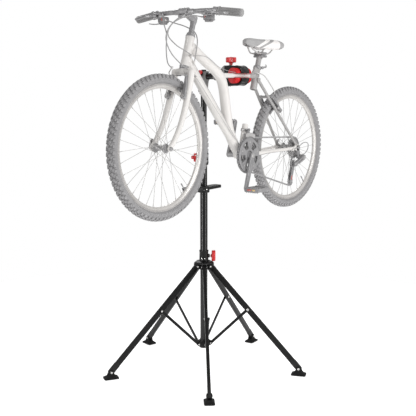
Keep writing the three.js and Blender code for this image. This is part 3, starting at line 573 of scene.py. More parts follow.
# Mid grey base colour for the castings: a painted highlight, the light on a gloss-black casting painted in as
# grey. Its cast grain and edge wear are real.
CASTING_HIGHLIGHT_GREY = finish("cast_grey", (122, 121, 120), 0.5, metal=0.15, vary=0.07, blotch=55, grain=900,
                   bump=0.35, pattern="cast", wear=0.2)
RED_PLASTIC = finish("red_plastic", (194, 18, 22), 0.34, coat=0.2, vary=0.07, blotch=50, grain=1300,
                     bump=0.14)
RED_RUBBER = finish("red_rubber", (196, 20, 24), 0.6, specular=0.4, vary=0.08, blotch=60, grain=1900,
                    bump=0.35)
FOOT_RUBBER = finish("foot_rubber", (18, 18, 18), 0.74, specular=0.2, vary=0.14, blotch=60, grain=1600,
                     bump=0.35)
REFLECTOR_RED = finish("reflector_red", (198, 96, 88), 0.2, coat=0.6, vary=0.05, grain=3000, bump=0.3,
                       pattern="cast")
REFLECTOR_AMBER = finish("reflector_amber", (222, 188, 122), 0.2, coat=0.6, vary=0.05, grain=3000, bump=0.3,
                         pattern="cast")

# ------------------------------------------------------------------ camera, floor and light

LENS_MM = 69.66
CAMERA_AT, CAMERA_TILT, CAMERA_TURN = (-3.2385, -2.6432, 1.5095), 81.51, -51.78
SURROUND, FLOOR_GLOW, FLOOR_RADIUS = 0.58, 0.55, 2500

camera_data = bpy.data.cameras.new("camera")
camera_data.lens, camera_data.sensor_width = LENS_MM, 36
camera = bpy.data.objects.new("camera", camera_data)
camera.location = CAMERA_AT
camera.rotation_euler = (math.radians(CAMERA_TILT), 0, math.radians(CAMERA_TURN))
bpy.context.scene.collection.objects.link(camera)
bpy.context.scene.camera = camera
bpy.context.scene.view_settings.view_transform = "Standard"


def studio():
    """A pale floor, an even bright surround and four soft lamps."""
    floor = Shape().loft([[(x, y, 0) for x, y in circle(FLOOR_RADIUS, 96)], [(0, 0, 0)]], caps=False)
    floor_object = bpy.data.objects.new("floor", mesh_of(floor, Matrix.Scale(MM, 4), "floor"))
    floor_object.location.z = -0.0005
    bpy.context.scene.collection.objects.link(floor_object)
    paper = finish("floor_paper", (250, 250, 250), 0.9, specular=0.1, vary=0.004, blotch=2, grain=300,
                   bump=0.02)
    glow = next(n for n in paper.node_tree.nodes if n.type == "BSDF_PRINCIPLED")
    glow.inputs["Emission Color"].default_value = (1, 1, 1, 1)
    glow.inputs["Emission Strength"].default_value = FLOOR_GLOW
    floor_object.data.materials.append(paper)

    world = bpy.data.worlds.new("studio")
    bpy.context.scene.world = world
    world.use_nodes = True
    nodes, links = world.node_tree.nodes, world.node_tree.links
    nodes.clear()
    output = nodes.new("ShaderNodeOutputWorld")
    seen, around = nodes.new("ShaderNodeBackground"), nodes.new("ShaderNodeBackground")
    seen.inputs["Color"].default_value = (1, 1, 1, 1)
    seen.inputs["Strength"].default_value = 1.0
    around.inputs["Color"].default_value = (1, 1, 1, 1)
    around.inputs["Strength"].default_value = SURROUND
    rays, either = nodes.new("ShaderNodeLightPath"), nodes.new("ShaderNodeMixShader")
    links.new(rays.outputs["Is Camera Ray"], either.inputs[0])
    links.new(around.outputs[0], either.inputs[1])
    links.new(seen.outputs[0], either.inputs[2])
    links.new(either.outputs[0], output.inputs[0])

    for name, at, target, size, power in (
        ("key", (-1.6, -3.4, 3.4), (0, -0.1, 1.1), (2.4, 1.8), 58),
        ("fill", (0.5, -3.7, 1.4), (0, -0.1, 1.1), (0.7, 3.2), 56),
        ("back", (2.2, 2.6, 3.4), (0, -0.1, 1.1), (2.4, 1.6), 50),
        ("strip", (-2.9, 0.7, 1.1), (0, 0, 0.9), (0.35, 3.4), 70),
    ):
        lamp_data = bpy.data.lights.new(name, "AREA")
        lamp_data.shape, lamp_data.size, lamp_data.size_y, lamp_data.energy = "RECTANGLE", *size, power
        lamp = bpy.data.objects.new(name, lamp_data)
        lamp.location = at
        lamp.visible_diffuse = name != "strip"
        lamp.rotation_euler = (Vector(target) - Vector(at)).to_track_quat("-Z", "Y").to_euler()
        bpy.context.scene.collection.objects.link(lamp)


studio()

# ------------------------------------------------------------------ cables

HOUSING = 2.5                       # a housing's radius


def cable(name, points, body, blend_to=None, stands_for=()):
    """A cable housing on a smooth route, with a ferrule at each end."""
    path = smooth_path(points, 48)
    made = piece(name, Shape().tube(path, HOUSING, sides=12, side=Vector((0.83, 0.25, 0.5))), body,
                 CABLE, stands_for, BIKE, ride=blend_to is None)
    route = [BIKE @ p for p in path]
    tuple(route[0])
    path_length(route)
    ferrule = Shape()
    for at, beyond in ((path[0], path[1]), (path[-1], path[-2])):
        way = (beyond - at).normalized()
        ferrule.turn([(-3, 0), (-3, 3.2), (-2, 3.6), (9, 3.6), (10, 3.1), (10, 0)], at, way, 16)
    if blend_to:
        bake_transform(made)
        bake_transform(piece(name + "_ferrules", ferrule, body, PALE_METAL, (), BIKE, ride=False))
    else:
        piece(name + "_ferrules", ferrule, body, PALE_METAL, (), BIKE)
    return made


REAR_RUN = [(-450, -116, 1838), (-500, -70, 1836), (-548, -28, 1795), (-556, -4, 1745), (-520, -20, 1700),
            (-465, -30, 1675), (-420, -29, 1655)]
FRONT_RUN = [(-450, 116, 1838), (-505, 72, 1838), (-552, 24, 1795), (-558, 2, 1745), (-545, 16, 1680),
             (-515, 34, 1622), (-497, 24, 1598)]
LOW_SHIFT_RUN = [(-440, -112, 1822), (-498, -78, 1826), (-560, -34, 1790), (-583, -16, 1730),
                 (-560, -24, 1665),
                 (-500, -33, 1615), (-440, -35, 1585), (-388, -30, 1560)]
HIGH_SHIFT_RUN = [(-440, 112, 1822), (-428, 70, 1806), (-402, 26, 1790), (-376, -8, 1766), (-374, -25, 1730),
                  (-388, -31, 1680), (-404, -31, 1625)]
REAR_LOOP = [(392, -72, 1176), (430, -78, 1190), (480, -82, 1212), (528, -80, 1206), (536, -76, 1176),
             (512, -73, 1152), (488, -72, 1146)]


def cables():
    cable("rear_brake_housing", REAR_RUN, "steering", "bike", stands_for=("control_cables",))
    cable("front_brake_housing", FRONT_RUN, "steering")
    cable("front_shift_housing", LOW_SHIFT_RUN, "steering", "bike")
    cable("rear_shift_housing", HIGH_SHIFT_RUN, "steering", "bike")
    cable("rear_derailleur_housing", REAR_LOOP, "bike")


cables()

# ------------------------------------------------------------------ wheels

TYRE_CENTRE, TYRE_SECTION, TYRE_INSIDE = 304.0, 22.5, 18.5
KNOB_COUNT, SPOKE_COUNT, CROSS_TURN = 76, 32, math.radians(67.5)
VALVE_PLACE, SPOKE_HOLES, NIPPLE_RADIUS = 27, 19, 268
CHAIN_LINK = 12.7


def tyre_shape(centre):
    """A casing on its bead with rows of raised blocks."""
    random.seed(7)
    outline = []
    for degrees in range(-116, 117, 4):
        turn = math.radians(degrees)
        proud = 0.8 if any(abs(abs(degrees) - line) < 3 for line in (92, 108)) else 0
        outline.append(((TYRE_SECTION + proud) * math.sin(turn),
                        TYRE_CENTRE + (TYRE_SECTION + proud) * math.cos(turn)))
    outline += [(13.4, 290.5), (11.2, 288.2), (8.6, 289.5)]
    for degrees in range(112, -113, -16):
        turn = math.radians(degrees)
        outline.append((TYRE_INSIDE * math.sin(turn), TYRE_CENTRE + TYRE_INSIDE * math.cos(turn)))
    outline += [(-8.6, 289.5), (-11.2, 288.2), (-13.4, 290.5)]
    shape = Shape().ring(outline, centre, Y, 144, look=1)
    for i in range(KNOB_COUNT):
        for section, offset, wide, around, height, skew in (
            (13, 0.0, 10, 14.4, 4.9, 18), (-13, 0.5, 10, 14.4, 4.9, -18),
            (34, 0.25, 9, 12.6, 4.7, -24), (-34, 0.75, 9, 12.6, 4.7, 24),
            (57, 0.5, 11, 15.4 if i % 2 else 11.6, 5.2, 0), (-57, 0.0, 11, 11.6 if i % 2 else 15.4, 5.2, 0),
        ):
            phi = TAU * (i + offset) / KNOB_COUNT
            theta, lean = math.radians(section), math.radians(skew)
            out = Vector((math.cos(phi), 0, math.sin(phi)))
            normal = out * math.cos(theta) + Y * math.sin(theta)
            over = Y * math.cos(theta) - out * math.sin(theta)
            around_axis = Vector((-math.sin(phi), 0, math.cos(phi)))
            a = around_axis * math.cos(lean) + over * math.sin(lean)
            b = over * math.cos(lean) - around_axis * math.sin(lean)
            base = centre + out * TYRE_CENTRE + normal * (TYRE_SECTION - 1.5)
            tall = height + random.uniform(-0.25, 0.15)
            rings = []
            for rise, share in ((0, 1.12), (tall + 0.7, 1.0), (tall + 1.5, 0.86)):
                rings.append([base + normal * rise + a * (sa * around / 2 * share)
                              + b * (sb * wide / 2 * share)
                              for sa, sb in ((1, 1), (-1, 1), (-1, -1), (1, -1))])
            shape.loft(rings)
    return shape


def rim_shape(centre):
    outline = [(12, 279.6), (12, 287.6), (11.2, 288.2), (10.2, 287), (9.6, 283), (6, 281), (-6, 281),
               (-9.6, 283),
               (-10.2, 287), (-11.2, 288.2), (-12, 287.6), (-12, 279.6), (-11.2, 278.2), (-9, 273),
               (-6, 267.6),
               (-3, 265.8), (3, 265.8), (6, 267.6), (9, 273), (11.2, 278.2)]
    shape = Shape().ring(outline, centre, Y, 144)
    for track in (0, 10):
        shape.looks[track * 144:(track + 1) * 144] = [1] * 144
    phi = TAU * (VALVE_PLACE + 0.5) / SPOKE_COUNT
    out = Vector((math.cos(phi), 0, math.sin(phi)))
    return shape.turn([(0, 3.2), (6, 3.2), (6, 2.6), (26, 2.6), (27, 3.4), (40, 3.2), (42, 2.4), (42, 0)],
                      centre + out * 266, -out, 16, look=2)


def spokes_shape(centre, flanges):
    shape = Shape()
    for i in range(SPOKE_COUNT):
        phi = TAU * i / SPOKE_COUNT
        flange = flanges[i % 2]
        trailing = (i // 2) % 2
        lead = phi + (CROSS_TURN if trailing else -CROSS_TURN)
        outward = 1 if flange > 0 else -1
        skin = flange + outward * (2.0 if trailing else -2.0)
        head = centre + Vector((SPOKE_HOLES * math.cos(lead), flange + outward * (-2.6 if trailing else 2.6),
                                SPOKE_HOLES * math.sin(lead)))
        start = centre + Vector((SPOKE_HOLES * math.cos(lead), skin, SPOKE_HOLES * math.sin(lead)))
        end = centre + Vector((NIPPLE_RADIUS * math.cos(phi), outward * 1.2, NIPPLE_RADIUS * math.sin(phi)))
        shape.tube([start, end], 1.0, sides=8)
        shape.rod(head, start, 1.0, sides=8, edge=0.2)
        shape.ball(head, 1.9, 10, squash=0.7, axis=Y)
        way = (end - start).normalized()
        shape.turn([(-14, 0), (-14, 1.5), (-13, 1.9), (-2, 2.0), (0, 2.6), (3, 2.6), (3, 0)], end, way, 10)
    return shape


def skewer(shape, centre, reach):
    """A quick-release skewer: its nut on the drive side and its lever on the other."""
    shape.rod(centre - Y * (reach - 2), centre + Y * (reach - 2), 2.6)
    shape.turn([(0, 0), (0, 6), (2, 9), (8, 9.4), (11, 7.5), (12, 5), (12, 0)], centre - Y * (reach - 12),
               -Y, 24)
    shape.turn([(0, 0), (0, 8.5), (2, 9.5), (6, 9.5), (8, 7), (11, 6), (11, 0)], centre + Y * (reach - 12),
               Y, 24)
    base = centre + Y * (reach - 4)
    path = smooth_path([base, base + Vector((6, 3, 12)), base + Vector((12, 4, 26)),
                        base + Vector((16, 1, 40))], 12)
    shape.sweep(path, lambda t: rounded(5 + 3 * t, 2.6, 1.6, 3), side=Vector((1, 0, 0.3)))


def mirror_profile(half):
    return [(-d, r) for d, r in half] + [(d, r) for d, r in half[::-1]]


def wheels():
    front, rear = flat(FRONT_HUB), flat(REAR_HUB)
    for name, centre, flanges, cad in (("front", front, (-29.5, 29.5), "front_wheel"),
                                       ("rear", rear, (-24.5, 30.5), "rear_wheel")):
        body = name + "_wheel"
        piece(name + "_knobbly_tyre", tyre_shape(centre), body, [TYRE, TYRE_WALL],
              name + "_tyre", BIKE)
        piece(name + "_rim", rim_shape(centre), body, [RIM, BRAKE_TRACK, GREY_PLASTIC], cad,
              BIKE)
        piece(name + "_spokes", spokes_shape(centre, flanges), body, SPOKE, (), BIKE)

    hub = Shape()
    hub.turn(mirror_profile([(49.3, 0), (49.3, 7.2), (48.6, 8), (44.5, 8), (44.4, 10.8), (38, 11.4),
                             (36.6, 14.4),
                             (33.6, 15.6), (32.6, 20.8), (31.6, 22), (28.6, 22), (27.4, 20.8), (26, 14.6),
                             (19, 11.6),
                             (10, 10.6)]), front, Y, 40)
    skewer(hub, front, 68)
    piece("front_hub", hub, "front_wheel", METALS, (), BIKE)

    hub = Shape()
    hub.turn([(-59, 0), (-59, 7.4), (-58, 8), (-54, 8), (-53.6, 12), (-50.5, 12.6), (-28, 14.4),
              (-27, 20.8), (-26, 22),
              (-23, 22), (-22, 20.8), (-20, 15), (-8, 12.5), (10, 12.2), (24, 14.5), (27.4, 20.8),
              (28.6, 22),
              (31.6, 22), (32.6, 20.8), (34, 15.4), (38, 13.4), (46, 11), (54, 10), (54.4, 8), (58.6, 8),
              (59, 7.4),
              (59, 0)], rear, Y, 40)
    skewer(hub, rear, 76)
    piece("rear_hub", hub, "rear_wheel", METALS, (), BIKE)


def pitch_radius(teeth):
    """How far the chain's rollers sit from a sprocket's axis."""
    return CHAIN_LINK / (2 * math.sin(math.pi / teeth))


def toothed(teeth, y, thick, inner, centre, shape, look=0, tip=2.9):
    """A sprocket ring with a tooth between every two chain rollers."""
    pitch = pitch_radius(teeth)
    outer, hole = [], []
    for i in range(teeth):
        for share, rise in ((0.0, -4.0), (0.16, -3.4), (0.3, -1.0), (0.41, 1.6), (0.47, tip), (0.53, tip),
                            (0.59, 1.6),
                            (0.7, -1.0), (0.84, -3.4)):
            angle = TAU * (i + share) / teeth
            outer.append((centre[0] + (pitch + rise) * math.cos(angle),
                          centre[1] + (pitch + rise) * math.sin(angle)))
            hole.append((centre[0] + inner * math.cos(angle), centre[1] + inner * math.sin(angle)))

    rows = ((hole, y), (outer, y), (outer, y + thick), (hole, y + thick))
    shape.loft([[(a, depth, b) for a, b in outline] for outline, depth in rows], True, look)


CHAIN_LINE, COG_LINE = -46.0, -32.5
RING_PITCH, COG_PITCH, PULLEY_PITCH = (pitch_radius(teeth) for teeth in (44, 28, 11))


def chain_path():
    def arc(centre, radius, start, end, steps, y):
        return [Vector((centre[0] + radius * math.cos(math.radians(start + (end - start) * i / steps)), y,
                        centre[1] + radius * math.sin(math.radians(start + (end - start) * i / steps))))
                for i in range(steps + 1)]

    path = arc(BOTTOM_BRACKET, RING_PITCH, 88, 284, 60, CHAIN_LINE)
    path += arc(TENSION_PULLEY, PULLEY_PITCH, 262, 390, 24, COG_LINE)
    path += arc(GUIDE_PULLEY, PULLEY_PITCH, 222, 150, 14, COG_LINE)
    path += arc(REAR_HUB, COG_PITCH, 265, 448, 40, COG_LINE)
    path.append(path[0])
    return path


def chain():
    """Every link of the chain: alternate outer and inner plates on rollers and pins."""
    loop = chain_path()
    count = 2 * round(path_length(loop) / CHAIN_LINK / 2)
    pins = respaced(loop, count + 1)[:-1]
    plates, rollers = Shape(), Shape()
    for i, p in enumerate(pins):
        q = pins[(i + 1) % count]
        ahead = (q - p).normalized()
        side = (Y - ahead * Y.dot(ahead)).normalized()
        up = ahead.cross(side)
        gap = (q - p).length
        offset = 3.7 if i % 2 else 2.6
        outline = []
        for k in range(20):
            angle = TAU * k / 20
            end = gap if math.cos(angle) > 0 else 0
            waist = 3.1 if abs(math.cos(angle)) < 0.2 else 4.1
            outline.append((end + 4.1 * math.cos(angle) if waist > 4 else gap / 2 + 2 * math.cos(angle),
                            waist * math.sin(angle)))
        for sign in (-1, 1):
            plates.loft([[p + ahead * a + up * b + side * (sign * offset + t) for a, b in outline]
                         for t in (-0.45, 0.45)])
        rollers.rod(p - side * 2.2, p + side * 2.2, 3.9, sides=12, edge=0.4)
        rollers.rod(p - side * 4.9, p + side * 4.9, 1.8, sides=10, edge=0.3, look=1)
    plates.add(rollers)
    made = piece("roller_chain", plates, "bike", METALS, "chain", BIKE, ride=False)
    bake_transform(made)


def drivetrain():
    chain()
    centre, rear = BOTTOM_BRACKET, REAR_HUB
    rings = Shape()
    toothed(44, CHAIN_LINE - 1.2, 2.4, 66, centre, rings)
    toothed(32, CHAIN_LINE + 7.5, 2.4, 57, centre, rings)
    toothed(22, CHAIN_LINE + 14.5, 2.2, 30, centre, rings)
    for i in range(5):
        angle = TAU * i / 5 + 0.25
        tip = (centre[0] + 66 * math.cos(angle), centre[1] + 66 * math.sin(angle))
        root = (centre[0] + 18 * math.cos(angle), centre[1] + 18 * math.sin(angle))
        rings.slab(capsule(root, 13, tip, 8), -48.8, -36, 1.2, 2)
        rings.hex_bolt((tip[0], -56.6, tip[1]), -Y, 4.6, 1.6, look=1)
    rings.turn([(-69.5, 0), (-69.5, 14), (-68, 16), (-60, 18), (-50, 26), (-40, 30), (-34, 28), (-33.4, 14),
                (-33.4, 0)], flat(centre), Y, 40)
    rings.turn([(33.4, 0), (33.4, 14), (50, 15), (68, 16), (68, 0)], flat(centre), Y, 32)
    piece("chainrings", rings, "crankset", METALS, "crankset", BIKE)

    guard = Shape().turn([(-57.6, 0), (-57.6, 40), (-56.4, 42), (-56.4, 74), (-57.6, 76), (-57.6, 80),
                          (-56.4, 82),
                          (-56, 86), (-55, 88.4), (-53.2, 88.4), (-52.8, 86), (-52.8, 0)],
                         flat(centre), Y, 96)
    windows = Shape()
    for i in range(5):
        middle = TAU * i / 5 + 0.6 + 0.25
        outline = []
        for r, turns in ((73, range(-6, 7)), (36, range(6, -7, -1))):
            outline += [(centre[0] + r * math.cos(middle + k * 0.048),
                         centre[1] + r * math.sin(middle + k * 0.048))
                        for k in turns]
        windows.slab(outline, -62, -48, 1.0)
    windows.rod(flat(centre) - Y * 62, flat(centre) - Y * 48, 24)
    piece("chain_guard", guard, "crankset", GREY_PLASTIC, (), BIKE, cut=windows, soften=0.5)

    cranks = Shape()
    for side in (1, -1):
        end = (centre[0] - CRANK_LENGTH * math.sin(CRANK_LEAN) * side,
               centre[1] - CRANK_LENGTH * math.cos(CRANK_LEAN) * side)
        low, high = (-80, -66) if side > 0 else (66, 80)
        face = low if side > 0 else high
        cranks.slab(capsule(centre, 16.5, end, 11.5, 40), low, high, 4, 4)
        out = Y * (-1 if side > 0 else 1)
        cranks.turn([(-2, 0), (-2, 12), (0.6, 12), (1.2, 11), (1.4, 0)], flat(centre, face), out, 32, look=1)
        cranks.hex_bolt(flat(end, face), out, 7.5, 1.2, look=1)
        groove = [flat((centre[0] + (end[0] - centre[0]) * t, centre[1] + (end[1] - centre[1]) * t), face)
                  for t in (0.2, 0.82)]
        cranks.sweep(groove, lambda t: rounded(0.8, 3.2 - t, 0.7, 2), side=Y)
    piece("crank_arms", cranks, "crankset", METALS, (), BIKE)

    cogs = Shape()
    for k, teeth in enumerate((28, 24, 21, 18, 16, 14, 12)):
        toothed(teeth, COG_LINE - 1.0 - 2.7 * k, 1.7, 15.4, rear, cogs, look=k % 2, tip=2.6)
    cogs.ring([(-52.5, 15.2), (-52.5, 19), (-51, 20), (-29.5, 20), (-29.5, 15.2)], flat(rear), Y, 40)
    piece("sprockets", cogs, "rear_wheel", METALS, "cassette", BIKE)


def pedal_shape(side, at):
    """A resin platform on its spindle, reaching outwards from the crank."""
    shape = Shape()
    shape.turn([(0.6, 0), (0.6, 7), (8, 7), (9, 5.6), (14, 5.6), (14, 9.5), (60, 10.5), (98, 9), (101, 6),
                (101, 0)],
               ORIGIN, Y, 28, look=1)
    frame_bars = ((-47, -37, 20, 94), (37, 47, 20, 94), (-14, 14, 15, 99), (-45, 45, 14, 24),
                  (-45, 45, 90, 100))
    for x0, x1, y0, y1 in frame_bars:
        tall = 12 if abs(x0 + x1) > 10 else 10
        shape.block((x0, y0, -tall), (x1, y1, tall), 3, 1.2)
    for edge in (-42, 42):
        for i in range(6):
            y = 24 + i * 12.6
            for sign in (-1, 1):
                shape.turn([(0, 3.2), (3.4, 1.8), (3.8, 0)], (edge, y + 4, sign * 11.6), Z * sign, 8)
        outer = -1 if edge < 0 else 1
        near, far = sorted((46 * outer, 48.4 * outer))
        for y0, y1, look in ((34, 58, 2), (63, 81, 3)):
            shape.block((near, y0, -4), (far, y1, 4), 2, 0.6, "x", look=look)
    return Shape().add(shape, Matrix.Translation(at) @ Matrix.Diagonal((1, side, 1, 1)))


def pedals():
    for side, body in ((-1, "near_pedal"), (1, "far_pedal")):
        x = BOTTOM_BRACKET[0] + CRANK_LENGTH * math.sin(CRANK_LEAN) * side
        z = BOTTOM_BRACKET[1] + CRANK_LENGTH * math.cos(CRANK_LEAN) * side
        piece(body + "_platform", pedal_shape(side, Vector((x, 80 * side, z))), body,
              [GREY_PLASTIC, GREY_METAL, REFLECTOR_RED, REFLECTOR_AMBER], body, BIKE)


def rear_mech():
    shape = Shape()
    shape.turn([(-98, 0), (-98, 9), (-96, 12), (-88, 14.5), (-74, 14.5), (-66, 12), (-46, 11), (-46, 0)],
               flat(KNUCKLE), Y, 36)
    shape.turn([(-60.5, 0), (-60.5, 10), (-58, 13.5), (-50, 14.5), (-44.5, 13), (-43.6, 11), (-43.6, 0)],
               flat(GUIDE_PULLEY), Y, 32)
    for x, y in ((5, -92), (-6, -80)):
        start, end = flat(KNUCKLE, y) + Vector((x, 0, -4)), flat(GUIDE_PULLEY, y + 28) + Vector((x, 0, 3))
        shape.sweep([start, start.lerp(end, 0.5), end], lambda t: rounded(8.5, 5.5, 3.5, 4), side=Y)
    shape.hex_bolt(flat(KNUCKLE, -98), -Y, 7, 2, look=1)
    shape.hex_bolt(flat(GUIDE_PULLEY, -60.5), -Y, 6, 2, look=1)
    shape.rod((487, -73, 1146), (472, -76, 1138), 4.6, look=1)
    shape.hex_bolt(flat(KNUCKLE, -84) + Vector((14, 0, -6)), X, 5, 4, look=1)
    for k in (0, 1):
        shape.rod((478, -57 - 6 * k, 1142), (488, -57 - 6 * k, 1147), 1.6, look=1)
    shape.slab(hull(circle(14, 24, REAR_HUB) + circle(10, 24, HANGER)), -66, -60.2, 1, 2, look=0)
    piece("rear_derailleur_body", shape, "bike", METALS, "rear_derailleur", BIKE)

    cage = Shape()
    for low, high in ((-41, -38.6), (-26.5, -24.4)):
        outline = hull(circle(11, 24, GUIDE_PULLEY) + circle(10, 24, TENSION_PULLEY) + [(430, 1060)])
        cage.slab(outline, low, high, 0.8, 2)
    for at in (GUIDE_PULLEY, TENSION_PULLEY):
        toothed(11, COG_LINE - 1, 2, 6, at, cage, look=1, tip=2.2)
        cage.turn([(-38.6, 0), (-38.6, 7), (-34, 9), (-31, 9), (-26.5, 7), (-26.5, 0)], flat(at), Y, 24,
                  look=1)
        cage.hex_bolt(flat(at, -41), -Y, 4.5, 1.4, look=2)
        cage.hex_bolt(flat(at, -24.4), Y, 4.5, 1.4, look=2)
    cage.slab(capsule((431, 1030), 3, (426, 1012), 3, 12), -42.2, -40.6, 0.3, 1, look=3)
    piece("pulley_cage", cage, "cage", [GREY_METAL, GREY_PLASTIC, PALE_METAL, REFLECTOR_RED],
          "derailleur_cage", BIKE)


def front_mech():
    """The front derailleur on its post: a band clamp, a link and the chain cage."""
    shape = Shape()
    post = (flat((46, 1326)) - flat(BOTTOM_BRACKET)).normalized()
    at = flat(BOTTOM_BRACKET) + post * 128
    shape.ring([(-7, 15.2), (-7, 18), (-5.5, 19), (5.5, 19), (7, 18), (7, 15.2)], at, post, 40, look=1)
    shape.block((at.x + 12, -12, at.z - 6), (at.x + 28, 2, at.z + 6), 3, 1.2, "y", look=1)
    shape.slab(capsule((at.x + 4, at.z + 3), 7, (at.x - 14, at.z - 16), 6), -30, -22, 2, 2)
    shape.slab(capsule((at.x - 16, at.z + 5), 4, (at.x + 8, at.z + 2), 6), -24, -16, 2, 2)
    centre = BOTTOM_BRACKET
    for y in (-54, -38.8):
        outline = []
        for r, turns in ((113, range(0, 9)), (95, range(8, -1, -1))):
            outline += [(centre[0] + r * math.cos(math.radians(62 + 5.5 * k)),
                         centre[1] + r * math.sin(math.radians(62 + 5.5 * k))) for k in turns]
        shape.slab(outline, y - 0.8, y + 0.8, 0.4, 1, look=1)
    top = math.radians(84)
    arch = (centre[0] + 112 * math.cos(top), centre[1] + 112 * math.sin(top))
    shape.block((arch[0] - 12, -54.5, arch[1] - 2), (arch[0] + 12, -38, arch[1] + 2), 2, 0.8, "y", look=1)
    shape.slab(capsule((at.x - 12, at.z - 12), 6, (arch[0], arch[1] + 2), 6), -40, -28, 2, 2)
    piece("front_derailleur", shape, "bike", METALS, (), BIKE)


wheels()
drivetrain()
pedals()
rear_mech()
front_mech()

# ------------------------------------------------------------------ frame, fork and cockpit


